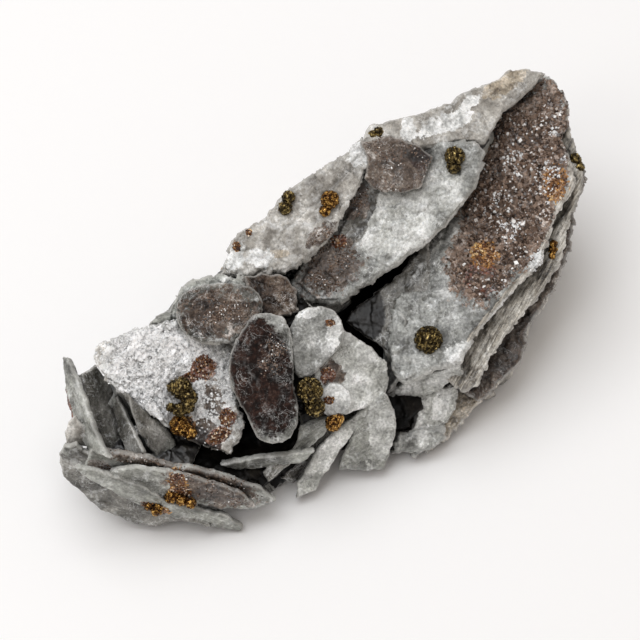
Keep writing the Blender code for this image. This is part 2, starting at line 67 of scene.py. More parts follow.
# The specimen lies on a pale table and is seen from 55 degrees above it, square to its large faces, through a
# long lens. The light is a soft box high on the left and behind, with white all round.
class Sheet:
    """A drawing sheet: across, up and out are its axes in the specimen's own frame."""

    middle = 64.0
    lift = 20.0
    long_axis_turn = math.radians(-45)
    origin_shift = Vector((-2.3, 1.0, 0.0))

    def __init__(self, elevation, turn):
        slope = math.radians(elevation)
        heading = Matrix.Rotation(self.long_axis_turn + math.radians(turn), 3, "Z")
        self.across = heading @ Vector((1, 0, 0))
        self.up = heading @ Vector((0, math.sin(slope), math.cos(slope)))
        self.out = heading @ Vector((0, -math.cos(slope), math.sin(slope)))

    def at(self, x, y, height):
        """The point that shows at (x, y) on the sheet and lies at this height above the table."""
        flat = (x - self.middle) * self.across + (self.middle - y) * self.up
        rise = (height - self.lift - flat.z) / self.out.z
        return flat + rise * self.out + Vector((0, 0, self.lift)) + self.origin_shift

    def facing(self, right, up):
        """The unit normal turned this many degrees right and up from facing the viewer."""
        lean = math.tan(math.radians(right)) * self.across + math.tan(math.radians(up)) * self.up
        return (lean + self.out).normalized()

    def on_plane(self, x, y, point, normal):
        """The point of a plane that shows at (x, y)."""
        start = self.at(x, y, self.lift)
        return start + self.out * ((point - start).dot(normal) / self.out.dot(normal))

    def places(self, points):
        """Where these points show on the sheet, as arrays across and down."""
        moved = points - np.array(self.origin_shift) - (0, 0, self.lift)
        return self.middle + moved @ np.array(self.across), self.middle - moved @ np.array(self.up)


FRONT = Sheet(elevation=55, turn=0)
REAR = Sheet(elevation=30, turn=225)
PLAN = Sheet(elevation=90, turn=0)


def new_object(name, data):
    """A new object of the scene."""
    made = bpy.data.objects.new(name, data)
    bpy.context.scene.collection.objects.link(made)
    return made


def mesh_object(name, bm):
    """A new object with this bmesh as its mesh."""
    mesh = bpy.data.meshes.new(name)
    bm.to_mesh(mesh)
    bm.free()
    return new_object(name, mesh)


def linear(code):
    """A colour's linear values from its sRGB hex code."""
    parts = [int(code[i:i + 2], 16) / 255 for i in (0, 2, 4)]
    return [p / 12.92 if p <= 0.04045 else ((p + 0.055) / 1.055) ** 2.4 for p in parts] + [1.0]


def feed(tree, node, inputs):
    """Sets each of a node's inputs, or links it where the value is another node's output."""
    for key, value in inputs.items():
        if isinstance(value, bpy.types.NodeSocket):
            tree.links.new(value, node.inputs[key])
        else:
            node.inputs[key].default_value = value


def new_material(name):
    """A new material, its node tree and its shader."""
    made = bpy.data.materials.new(name)
    made.use_nodes = True
    return made, made.node_tree, made.node_tree.nodes["Principled BSDF"]


def lamp(name, direction, distance, size, power, colour):
    """A square soft box that faces the specimen from a direction (across, up, out) on the front sheet."""
    data = bpy.data.lights.new(name, "AREA")
    data.size = size
    data.energy = power
    data.color = linear(colour)[:3]
    way = (direction[0] * FRONT.across + direction[1] * FRONT.up + direction[2] * FRONT.out).normalized()
    made = new_object(name, data)
    made.location = aim * MM + way * distance
    made.rotation_mode = "QUATERNION"
    made.rotation_quaternion = way.to_track_quat("Z", "Y")


FIELD = 128.0
LENS = 1400.0
SENSOR = 36.0
aim = FRONT.at(64.0, 64.0, 20.0)
camera_data = bpy.data.cameras.new("camera")
camera_data.sensor_width = SENSOR
camera_data.lens = LENS
camera_data.clip_end = 50.0
camera = new_object("camera", camera_data)
camera.matrix_world = Matrix.Translation((aim + FRONT.out * (FIELD * LENS / SENSOR)) * MM) @ Matrix(
    (FRONT.across, FRONT.up, FRONT.out)).transposed().to_4x4()
bpy.context.scene.camera = camera
bpy.context.scene.view_settings.view_transform = "Standard"

lamp("soft_box", (-0.26, 0.66, 0.70), 1.0, 0.95, 6.7, "f8fbff")
lamp("front_lamp", (-0.35, 0.05, 0.94), 1.2, 0.35, 1.2, "ffffff")
world = bpy.data.worlds.new("studio")
world.use_nodes = True
feed(world.node_tree, world.node_tree.nodes["Background"], {"Color": linear("fff7f0"), "Strength": 0.475})
bpy.context.scene.world = world

disc = bmesh.new()
bmesh.ops.create_circle(disc, cap_ends=True, segments=96, radius=3.0)
table = mesh_object("table", disc)
table_paint, table_tree, table_shader = new_material("matt white table")
feed(table_tree, table_shader, {"Base Color": linear("fefefe"), "Roughness": 0.9, "Specular IOR Level": 0.1})
table.data.materials.append(table_paint)


# The left end is a cup of thin calcite petals and blades that grew edge to edge, smoky inside and paler at
# their rims. The smoky coats inside the cup and on the outer petal, which faces down, are partly the calcite's
# tint and partly painted shade. Each is a closed plate. Those of one group are grown into one skin, which is
# then weathered.
class Growth(NamedTuple):
    """A plate or mass of calcite: its outline on a sheet, and the height of its middle above the table.

    It faces so many degrees right and up from the sheet's viewer, is so thick, has a sloping edge so wide, and
    goes so far below its rim where it isn't thin. Its sheet is its skin's where it names none. A coat is what
    grew on or in the calcite, or painted shade: the deep coat always is, and a few others are where they lie in
    shadow. A coat's entry is its kind and the ellipse that it covers on the skin's sheet (across, down, half
    width, half height, turn in degrees), or its kind alone where it covers the whole growth.
    """

    outline: list
    height: float
    faces: tuple
    thick: float
    edge: float
    below: float = 0
    curved: bool = False
    coats: list = []
    sheet: Sheet = None

    @property
    def massive(self):
        """Whether it is a buried mass, plain and broken all round."""
        return self.below > 7


LEFT_CUP = {
    "outer petal": Growth(
        [(12, 90.4), (13, 88.9), (15.4, 88.7), (18, 90.4), (22, 95.6), (28, 98.6), (35, 101.2), (42.6, 105),
         (36, 103.8), (31, 105.1), (26, 104.2), (20, 101.6), (16, 98), (12.6, 95)],
        10, (-8, -42), 2.4, 1, coats=[("smoky", 26, 98, 20, 12)]),
    "pale petal edge": Growth(
        [(15, 93.2), (20, 94), (28, 96.8), (34, 100.2), (40, 101.6), (45, 102.8), (48.6, 105), (48, 106),
         (43, 105.2), (36, 103.6), (30, 101.6), (24, 98.8), (18, 95.6)],
        9, (0, -52), 1.8, 0.7, coats=[("gold", 31, 101.6, 3.2, 0.9, 14)]),
    "inner petal": Growth(
        [(18.4, 89.6), (22, 90), (30, 91.2), (34, 92.8), (40, 93.4), (48, 96), (52.4, 97.6), (55.4, 100),
         (51, 101.6), (44, 101.4), (38, 100), (30, 98), (22, 94.8), (17, 92.8)],
        11.5, (4, -42), 2.4, 0.9,
        coats=[("brown", 28, 91.6, 9, 1.5, 12), ("brown", 20, 93.2, 2.6, 1.2, 10),
               ("brown", 42, 96.4, 10, 2.6, 14), ("gold", 36, 96.6, 1.7, 3.4, -20)]),
    "lens on the inner petal": Growth(
        [(22, 94), (26, 93.2), (34, 94), (42, 96.2), (48.6, 98.4), (51.2, 101.2), (44, 101.4), (36, 99.8),
         (28, 97.2)],
        12.4, (2, -48), 1.8, 0.7, coats=[("brown", 42.6, 97.8, 9, 3, 16), ("gold", 36, 97.6, 1.9, 3.4, -20)]),
    "left wall": Growth(
        [(12.8, 71.4), (13.8, 71.6), (14.8, 74), (16.2, 77.6), (17.8, 82), (19, 85.6), (20.6, 88.6),
         (22, 91.4), (18.4, 90.2), (16.2, 87), (15, 84.4), (13.8, 80), (13, 74)],
        20.6, (-58, 8), 1.8, 0.6, coats=[("rust", 13.9, 83, 0.8, 6.4, -12)]),
    "chip outside the left wall": Growth(
        [(13.6, 88.8), (13.2, 86.4), (13.8, 84.2), (15.2, 83), (17.4, 86), (18.4, 89.4)],
        19.4, (-20, -20), 1.8, 0.6, coats=[("clear",)]),
    "back petal": Growth(
        [(16.4, 74.8), (18, 73.8), (19, 72.9), (22, 77), (24.4, 82), (26, 88), (22, 91.6), (18.6, 88),
         (17, 82)],
        16.6, (34, 8), 1.8, 0.7, coats=[("smoky", 20, 82, 12, 14)]),
    "standing blade": Growth(
        [(22.4, 79.6), (23.6, 79.2), (25, 82), (26.8, 86), (28.8, 90), (29.4, 93), (26, 92), (23.8, 86)],
        16.4, (-48, -5), 1.5, 0.5, coats=[("smoky", 26, 88, 6, 9, -20)]),
    "cup floor": Growth(
        [(17, 78), (19, 90), (28, 96), (38, 95), (40, 84), (30, 74), (20, 73)],
        12, (0, 0), 1, 2, below=14, sheet=PLAN, coats=[("deep", 28, 88, 20, 20)]),
    "right petal": Growth(
        [(25.6, 78.4), (28, 81), (30.4, 83.2), (32.6, 84.4), (34.6, 87.4), (36.2, 91.2), (36, 93.6),
         (31.6, 92.6), (28.8, 88), (26.6, 83)],
        15.6, (30, -12), 1.8, 0.7, coats=[("smoky", 28, 83, 6, 9, -20)]),
}


def eased(low, high, values):
    """How far each value is from low to high, from 0 to 1, eased at both ends."""
    part = np.clip((values - low) / (high - low), 0, 1)
    return part * part * (3 - 2 * part)


def along(rows, way):
    """How far each row of an array goes along this way, or along its own way."""
    return np.einsum("ij,ij->i", rows, way)


TABLE_ROWS = 4096


def grid(points, size):
    """Where each point is on a grid with cells of this size, and the cell that it is in."""
    spot = points / size + 500.0
    return spot, np.floor(spot).astype(np.int64)


def table_row(cell):
    """The row for each cell in a table of random values, mixed so that neighbours differ."""
    x, y, z = cell.T
    return (x * 7919 ^ y * 104729 ^ z * 1299709) & (TABLE_ROWS - 1)


def lumps(points, size, seed):
    """Smooth noise from -1 to 1 in lumps of about this size."""
    table = np.random.default_rng(seed).uniform(-1, 1, TABLE_ROWS)
    spot, cell = grid(points, size)
    part = spot - cell
    part = part * part * (3 - 2 * part)
    total = np.zeros(len(points))
    for corner in itertools.product((0, 1), repeat=3):
        total += np.prod(np.where(corner, part, 1 - part), axis=1) * table[table_row(cell + corner)]
    return total


def facets(points, size, steep, seed):
    """Heights of small flat breaks of about this size, each tilted its own way by up to this slope."""
    chance = np.random.default_rng(seed)
    jitter = chance.uniform(-0.35, 0.35, (TABLE_ROWS, 3))
    slopes = chance.uniform(-steep, steep, (TABLE_ROWS, 3)) * size
    spot, cell = grid(points, size)
    nearest = np.full(len(points), np.inf)
    height = np.zeros(len(points))
    for corner in itertools.product((0, 1), repeat=3):
        row = table_row(cell + corner)
        away = spot - (cell + corner) - jitter[row]
        distance = along(away, away)
        height = np.where(distance < nearest, along(away, slopes[row]), height)
        nearest = np.minimum(distance, nearest)
    return height


def rounded(outline):
    """The outline as a smooth curve through its points, with two more points between each two."""
    points = [Vector(point) for point in outline]
    count = len(points)
    curve = []
    for index in range(count):
        before, here, there, after = (points[(index + step) % count] for step in (-1, 0, 1, 2))
        reach = (there - here).length / 3
        leave = here + (there - before).normalized() * reach
        arrive = there - (after - here).normalized() * reach
        curve += [tuple(point) for point in interpolate_bezier(here, leave, arrive, there, 4)[:3]]
    return curve


def ragged(outline, tooth, depth, seed):
    """An outline with small broken teeth along it."""
    chance = random.Random(seed)
    points = []
    for (x, y), (x1, y1) in zip(outline, outline[1:] + outline[:1]):
        run = math.hypot(x1 - x, y1 - y)
        steps = max(1, round(run / tooth))
        for step in range(steps):
            share = step / steps
            off = chance.uniform(-depth, depth)
            across = x + (x1 - x) * share + off * (y1 - y) / run
            down = y + (y1 - y) * share - off * (x1 - x) / run
            points.append((across, down))
    return points


# A plate's rim lies in front of its middle by a share of its thickness, with teeth (spacing, depth) along it.
# Its front edge is narrower than its back edge. Both slope in two steps: (share of the width, of the depth).
RIM_FORWARD = 0.22
CURVED_TEETH = (0.8, 0.1)
BROKEN_TEETH = (1.0, 0.17)
FRONT_EDGE = 0.55
EDGE_STEPS = ((0.35, 0.6), (0.65, 0.4))


def plate(name, growth, sheet, number):
    """A growth as a closed plate with a ragged rim, its middle, its normal and the way to its far corner."""
    outline, thick = growth.outline, growth.thick
    normal = sheet.facing(*growth.faces)
    across, down = (sum(values) / len(outline) for values in zip(*outline))
    middle = sheet.at(across, down, growth.height)
    forward = 0.0 if growth.massive else RIM_FORWARD * thick
    if growth.curved:
        broken = ragged(rounded(outline), *CURVED_TEETH, name)
    else:
        broken = outline if growth.massive else ragged(outline, *BROKEN_TEETH, name)
    bm = bmesh.new()
    mark = bm.faces.layers.int.new("growth")
    rim = [bm.verts.new(sheet.on_plane(x, y, middle + normal * forward, normal)) for x, y in broken]
    front = (thick / 2 - forward, 1.0 if growth.massive else FRONT_EDGE, normal)
    back = ((growth.below or thick / 2) + forward, 1.0, -normal)
    for depth, slope, way in (front, back):
        face = bm.faces.new(rim)
        face.normal_update()
        if face.normal.dot(way) < 0:
            face.normal_flip()
        for width, share in EDGE_STEPS:
            bmesh.ops.inset_individual(bm, faces=[face], thickness=growth.edge * slope * width,
                                       depth=depth * share, use_even_offset=growth.massive)
    bm.normal_update()
    bmesh.ops.recalc_face_normals(bm, faces=bm.faces)
    if min(vert.co.z for vert in bm.verts) < 0:
        everything = bm.verts[:] + bm.edges[:] + bm.faces[:]
        cut = bmesh.ops.bisect_plane(bm, geom=everything, plane_co=(0, 0, 0), plane_no=(0, 0, 1),
                                     clear_inner=True)
        edges = [part for part in cut["geom_cut"] if isinstance(part, bmesh.types.BMEdge)]
        bmesh.ops.triangle_fill(bm, edges=edges, use_beauty=True, use_dissolve=False)
        bmesh.ops.recalc_face_normals(bm, faces=bm.faces)
    for face in bm.faces:
        face[mark] = number
    far = max((sheet.on_plane(x, y, middle, normal) - middle for x, y in outline), key=lambda way: way.length)
    return bm, middle, normal, far.normalized()


def grown_together(name, growths, sheet, grain):
    """The growths as one closed skin, with the middle, the normal and the longest way of each."""
    bm = bmesh.new()
    facts = []
    for number, (growth_name, growth) in enumerate(growths.items()):
        made, *fact = plate(growth_name, growth, growth.sheet or sheet, number)
        part = bpy.data.meshes.new(growth_name)
        made.to_mesh(part)
        made.free()
        bm.from_mesh(part)
        bpy.data.meshes.remove(part)
        facts.append(fact)
    piece = mesh_object(name, bm)
    piece.data.remesh_voxel_size = grain
    piece.data.use_remesh_preserve_attributes = True
    bpy.context.view_layer.objects.active = piece
    bpy.ops.object.voxel_remesh()
    return piece, [np.array(column) for column in zip(*facts)]


def owners(mesh):
    """The number of the growth that each point of a skin belongs to."""
    of_face = np.empty(len(mesh.polygons), int)
    mesh.attributes["growth"].data.foreach_get("value", of_face)
    corners = np.empty(len(mesh.polygons), int)
    mesh.polygons.foreach_get("loop_total", corners)
    corner_point = np.empty(len(mesh.loops), int)
    mesh.loops.foreach_get("vertex_index", corner_point)
    owner = np.zeros(len(mesh.vertices), int)
    owner[corner_point] = np.repeat(of_face, corners)
    mesh.attributes.remove(mesh.attributes["growth"])
    return owner


def surface(mesh):
    """The places and the normals of a mesh's points."""
    both = np.empty((2, len(mesh.vertices) * 3))
    mesh.vertices.foreach_get("co", both[0])
    mesh.vertices.foreach_get("normal", both[1])
    return both.reshape(2, -1, 3)


# A terrace on a face is this high, and a leaf in an edge this thick.
TERRACE = 0.2
LEAF = 0.7


def weathered(points, normals, middle, plate_normal, relief, massive):
    """The points moved a little: terraces on faces, thin leaves round edges and plain breaks on masses."""
    broad = lumps(points, 7.0, 1)
    on_face = eased(0.6, 0.9, np.abs(along(normals, plate_normal)))
    depth = along(points - middle, plate_normal)
    flat = points - depth[:, None] * plate_normal
    level = 2.6 * lumps(flat, 9.0, 3) + 0.5 * lumps(flat, 2.5, 4)
    terraces = np.floor(level) + eased(0.42, 0.58, level - np.floor(level))
    face_move = 0.12 * broad + TERRACE * terraces + 0.06 * lumps(points, 0.7, 5)
    face_move += facets(flat, 4.6, 0.13, 11) + facets(points, 1.4, 0.2, 12)
    leaves = np.abs((depth / LEAF + 0.9 * lumps(flat, 4.0, 6)) % 1.0 - 0.5) * 2
    edge_move = facets(flat, 1.9, 0.3, 13) + facets(points, 0.9, 0.2, 14) + 0.24 * (leaves - 0.6)
    edge_move += 0.1 * lumps(points, 0.8, 8)
    rock = 0.5 * broad + facets(points, 5.0, 0.3, 15) + facets(points, 1.7, 0.25, 16)
    move = np.where(massive, rock, relief * (on_face * face_move + (1 - on_face) * edge_move))
    return points + normals * move[:, None]


def coverage(places, across=64.0, down=64.0, wide=1000.0, tall=1000.0, turn=0):
    """How much an ellipse on the sheet covers each place, from 0 to 1. Without one, it covers them all."""
    right, below = places[0] - across, places[1] - down
    turned = math.radians(turn)
    dx = right * math.cos(turned) + below * math.sin(turned)
    dy = below * math.cos(turned) - right * math.sin(turned)
    return np.clip(1.5 - np.hypot(dx / wide, dy / tall), 0, 1)


# A growth thinner than FULL_RELIEF is weathered less, and so is a calm one. The skin stays a little inside the
# box of the solids, and each growth's patterns start a step away from the last one's. A coat doesn't lie on
# faces turned away from the sheet's viewer, and the deep one, which is painted shade, only on those turned
# towards them.
FULL_RELIEF = 3.0
CALM = 0.4
BOX_MARGIN = 0.02
PATTERN_STEP = 7.0
COAT_FACES = -0.3
DEEP_FACES = 0.25


def skin(name, growths, grain, coats=(), calm=(), sheet=FRONT):
    """One weathered skin round some growths, with a point every grain mm, and each coat's amount at each point.

    The coats named here lie on every growth of the skin, each within its ellipse where it gives one.
    """
    piece, facts = grown_together(name, growths, sheet, grain)
    mesh = piece.data
    points, normals = surface(mesh)
    owner = owners(mesh)
    middles, plate_normals, long_ways = (column[owner] for column in facts)
    relief = np.array([(CALM if key in calm else 1.0) * min(max(growth.thick / FULL_RELIEF, 0.5), 1.0)
                       for key, growth in growths.items()])
    massive = np.array([growth.massive for growth in growths.values()])
    moved = weathered(points, normals, middles, plate_normals, relief[owner], massive[owner])
    low, high = (np.array(corner) / MM for corner in CAD_BOX)
    moved = np.clip(moved, low + BOX_MARGIN, high - BOX_MARGIN)
    on_table = (points[:, 2] < 0.6 * grain) & (normals[:, 2] < -0.5)
    moved[on_table, 2] = 0.0
    mesh.vertices.foreach_set("co", (moved * MM).ravel())
    places = sheet.places(points)
    outward = normals @ np.array(sheet.out)
    laid = [(coat, True) for coat in coats]
    for number, growth in enumerate(growths.values()):
        laid += [(coat, owner == number) for coat in growth.coats]
    values = {}
    for (coat, *ellipse), where in laid:
        seen = outward > (DEEP_FACES if coat == "deep" else COAT_FACES)
        values[coat] = np.maximum(values.get(coat, 0), coverage(places, *ellipse) * seen * where)
    side = np.abs(along(normals, plate_normals))
    values["edge"] = 1 - eased(0.45, 0.85, side)
    if "leaves" in values:
        values["leaves"] *= 1 - eased(0.8, 0.98, side)
    for coat, value in values.items():
        mesh.attributes.new(coat, "FLOAT", "POINT").data.foreach_set("value", value.astype(np.float32))
    own_axes = (long_ways, np.cross(plate_normals, long_ways), plate_normals)
    leaf = np.stack([along(points - middles, way) for way in own_axes], axis=1) + owner[:, None] * PATTERN_STEP
    leaf = (leaf * MM).astype(np.float32)
    mesh.attributes.new("leaf", "FLOAT_VECTOR", "POINT").data.foreach_set("vector", leaf.ravel())
    mesh.polygons.foreach_set("use_smooth", np.ones(len(mesh.polygons), bool))
    mesh.update()
    return piece, values


# Each coat: its colours from deep to bright, the size of its clouds in mm, how many times longer they are along
# the plate, how torn its border is and in patches of what size, how sugary, how rough and how milky it is.
# Milky calcite has white veins and lets light in. The first coat is the calcite itself.
COATS = {
    "milky": (("5f5f5b", "81827e", "969793", "aaaba8", "dcdddb"), 4.0, 1.0, 0.0, 1.0, 0.4, 0.3, 0.35),
    "streaky": (("4a4a45", "7b7c76", "95968f", "b0b2ac", "e8e9e6"), 3.2, 3.0, 0.4, 4.0, 0.25, 0.3, 0.3),
    "pale": (("8c8d88", "b0b1ac", "c2c3bf", "d4d5d2", "f2f2f0"), 4.0, 1.0, 0.5, 5.0, 0.3, 0.25, 0.3),
    "clear": (("7f7b74", "9a968f", "aaa69f", "bbb8b1", "e8e6e2"), 4.0, 1.0, 0.6, 5.0, 0.15, 0.2, 0.3),
    "cream": (("6f6455", "978c7b", "b0a593", "cabfaf", "f1ebe0"), 2.4, 1.5, 0.5, 2.0, 0.35, 0.42, 0.3),
    "smoky": (("2c2a26", "504e48", "6b6963", "898781", "c3c2bd"), 3.4, 2.0, 0.5, 4.0, 0.15, 0.25, 0.3),
    # The deep coat is painted shade: near black on buried masses and in hollows where shade falls.
    "deep": (("020202", "080706", "100e0c", "1c1916", "3a3731"), 4.0, 1.0, 0.2, 2.0, 0.2, 0.4, -0.15),
    "leaves": (("4c453b", "928b7f", "bfb8ac", "e1ddd4", "faf8f3"), 3.0, 1.0, 0.3, 2.0, 0.3, 0.42, 0.0),
    "strata": (("38322a", "7d766b", "b4aea2", "dedad1", "faf8f3"), 3.0, 1.0, 0.5, 2.0, 0.3, 0.42, 0.0),
    "white": (("a9aaa8", "cfd0ce", "e4e5e3", "f3f4f3", "ffffff"), 3.0, 1.0, 0.95, 1.8, 0.2, 0.25, 0.3),
    "frost": (("e0e2e3", "f8f8f9", "ffffff", "ffffff", "ffffff"), 1.8, 1.0, 0.6, 1.6, 1.0, 0.4, 0.3),
    "brown": (("1e1510", "42352c", "594b41", "73665a", "cdc6c0"), 2.0, 1.2, 1.1, 2.0, 0.6, 0.3, 0.0),
    "dark": (("0c0605", "1b100d", "2c1c17", "45322b", "a39b95"), 2.2, 1.2, 0.25, 1.2, 0.5, 0.28, 0.0),
    "druse": (("2b1d16", "5d483b", "7a6555", "957f6f", "ddd4cc"), 1.8, 1.0, 0.6, 1.8, 0.8, 0.22, 0.0),
    "rust": (("24100a", "52291a", "744431", "956a55", "e6d6cb"), 1.2, 1.0, 0.7, 1.2, 0.7, 0.22, 0.0),
    "gold": (("241304", "5c380f", "87581c", "ae782d", "f0d69c"), 1.0, 1.0, 0.7, 1.0, 0.8, 0.2, 0.0),
}
CLOUD_STOPS = (0.42, 0.465, 0.505, 0.55, 0.61)
# Thin layers lie one under the next towards the lower right, so their lines run along the slabs' right edges.
LAYERS_RUN = 0.87 * FRONT.across - 0.49 * FRONT.up
VEIN_WHITE = linear("f2f3f2")
# The near black of the painted shade in hollows.
HOLLOW_SHADE = linear("0e0c0a")


def add(tree, kind, inputs=(), out=0, **settings):
    """One output of a new node, made with its settings and its inputs."""
    made = tree.nodes.new("ShaderNode" + kind)
    for key, value in settings.items():
        setattr(made, key, value)
    feed(tree, made, dict(inputs))
    return made.outputs[out]


def with_stops(ramp_output, stops):
    """A colour ramp's output, once the ramp has these stops, each a place and a colour code."""
    ramp = ramp_output.node.color_ramp
    for index, (spot, code) in enumerate(stops):
        stop = ramp.elements[index] if index < 2 else ramp.elements.new(spot)
        stop.position = spot
        stop.color = linear(code)
    return ramp_output


def coated(tree, coats, place, leaf):
    """The calcite with its coats over it in their order: its colour, and how sugary, rough and milky it is."""
    broad = add(tree, "TexNoise", {"Vector": place, "Scale": 1 / (8.0 * MM)})
    broad = add(tree, "MapRange", {"Value": broad, 1: 0.3, 2: 0.7, 3: 0.18, 4: 0.27})
    for coat in [key for key in COATS if key == "milky" or key in coats]:
        codes, size, drawn, torn, patch, *own_traits = COATS[coat]
        where = place
        if drawn != 1.0:
            where = add(tree, "VectorMath", {0: leaf, 1: (1 / drawn, 1.0, 1.0)}, operation="MULTIPLY")
        if coat in ("leaves", "strata"):
            layer = add(tree, "VectorMath", {0: place, 1: LAYERS_RUN}, out="Value", operation="DOT_PRODUCT")
            layer = add(tree, "VectorMath", {0: LAYERS_RUN * 4.0, "Scale": layer}, operation="SCALE")
            where = add(tree, "VectorMath", {0: place, 1: (0.5, 0.5, 0.5), 2: layer}, operation="MULTIPLY_ADD")
        cloud = add(tree, "TexNoise", {"Vector": where, "Scale": 1 / (size * MM), "Detail": 10.0,
                                       "Roughness": 0.72, "Distortion": 0.35})
        cloud = add(tree, "Math", {0: cloud, 1: 0.55, 2: broad}, operation="MULTIPLY_ADD")
        own = with_stops(add(tree, "ValToRGB", {"Fac": cloud}), zip(CLOUD_STOPS, codes))
        if coat == "milky":
            colour, traits = own, own_traits
            continue
        amount = add(tree, "Attribute", attribute_name=coat, out="Fac")
        tear = add(tree, "TexNoise", {"Vector": place, "Scale": 1 / (patch * MM), "Detail": 6.0,
                                      "Roughness": 0.7})
        tear = add(tree, "MapRange", {"Value": tear, 1: 0.3, 2: 0.7, 3: -torn / 2, 4: torn / 2})
        tear = add(tree, "Math", {0: amount, 1: tear})
        here = add(tree, "MapRange", {"Value": tear, 1: 0.44, 2: 0.56}, interpolation_type="SMOOTHSTEP")
        any_here = add(tree, "Math", {0: amount, 1: 0.02}, operation="GREATER_THAN")
        here = add(tree, "Math", {0: here, 1: any_here}, operation="MULTIPLY")
        colour = add(tree, "Mix", {0: here, 6: colour, 7: own}, out=2, data_type="RGBA")
        traits = [add(tree, "Mix", {0: here, 2: under, 3: over}) for under, over in zip(traits, own_traits)]
    return colour, *traits


# Two webs of fine veins: the size of the web in mm, the width of a vein as a share of it, and its strength.
VEIN_WEBS = ((3.0, 0.014, 1.0), (1.6, 0.014, 0.45))


def veined(tree, colour, place, milk, web):
    """The colour with white veils through the milky calcite and two webs of fine veins where they crowd."""
    veil = add(tree, "TexNoise", {"Vector": place, "Scale": 1 / (7.0 * MM), "Detail": 9.0, "Roughness": 0.62,
                                  "Lacunarity": 2.2, "Offset": 1.0, "Gain": 1.6},
               noise_type="RIDGED_MULTIFRACTAL")
    veil = add(tree, "MapRange", {"Value": veil, 1: 1.85, 2: 2.35, 4: 0.6})
    strength = add(tree, "Math", {0: milk, 1: 2.4, 2: 0.12}, operation="MULTIPLY_ADD", use_clamp=True)
    veil = add(tree, "Math", {0: veil, 1: strength}, operation="MULTIPLY")
    colour = add(tree, "Mix", {0: veil, 6: colour, 7: linear("eef0f0")}, out=2, data_type="RGBA")
    crowd = add(tree, "TexNoise", {"Vector": place, "Scale": 1 / (5.0 * MM), "Detail": 4.0, "Roughness": 0.6})
    crowd = add(tree, "MapRange", {"Value": crowd, 1: 0.4, 2: 0.58, 4: 0.6})
    crowd = add(tree, "Math", {0: crowd, 1: web}, operation="MULTIPLY")
    for size, width, strength in VEIN_WEBS:
        thread = add(tree, "TexNoise", {"Vector": place, "Scale": 1 / (size * MM), "Detail": 5.0,
                                        "Roughness": 0.6, "Distortion": 1.1})
        thread = add(tree, "Math", {0: thread, 1: 0.5}, operation="SUBTRACT")
        thread = add(tree, "Math", {0: thread}, operation="ABSOLUTE")
        thread = add(tree, "MapRange", {"Value": thread, 2: width, 3: strength, 4: 0.0})
        thread = add(tree, "Math", {0: thread, 1: crowd}, operation="MULTIPLY")
        colour = add(tree, "Mix", {0: thread, 6: colour, 7: VEIN_WHITE}, out=2, data_type="RGBA")
    return colour


# Flat breaks of two sizes: their size in mm, and how much lighter or darker one can be than the next.
BREAKS = ((4.2, 1.1), (1.5, 0.9))
BREAK_BEND = (2.4 * MM, 2.4 * MM, 2.4 * MM)


def fractured(tree, colour, place, leaf, milk):
    """The colour a little lighter or darker from one flat break to the next, their borders bent."""
    bent = add(tree, "TexNoise", {"Vector": place, "Scale": 1 / (3.0 * MM), "Detail": 3.0}, out="Color")
    bent = add(tree, "VectorMath", {0: bent, 1: BREAK_BEND, 2: leaf}, operation="MULTIPLY_ADD")
    for size, contrast in BREAKS:
        flat = add(tree, "TexVoronoi", {"Vector": bent, "Scale": 1 / (size * MM)}, out="Color")
        flat = add(tree, "Math", {0: add(tree, "SeparateXYZ", {0: flat}), 1: 0.5}, operation="SUBTRACT")
        depth = add(tree, "Math", {0: milk, 1: contrast}, operation="MULTIPLY")
        flat = add(tree, "Math", {0: flat, 1: depth, 2: 1.0}, operation="MULTIPLY_ADD")
        colour = add(tree, "VectorMath", {0: colour, "Scale": flat}, operation="SCALE")
    return colour


def shade_hollows(tree, colour, hollow, least, most, samples):
    """The colour darkened with painted shade in hollows of this size, where little of the air round a point is
    open.
    """
    open_air = add(tree, "AmbientOcclusion", {"Distance": hollow * MM}, out="AO", samples=samples)
    open_air = add(tree, "MapRange", {"Value": open_air, 1: least, 2: most})
    return add(tree, "Mix", {0: open_air, 6: HOLLOW_SHADE, 7: colour}, out=2, data_type="RGBA")


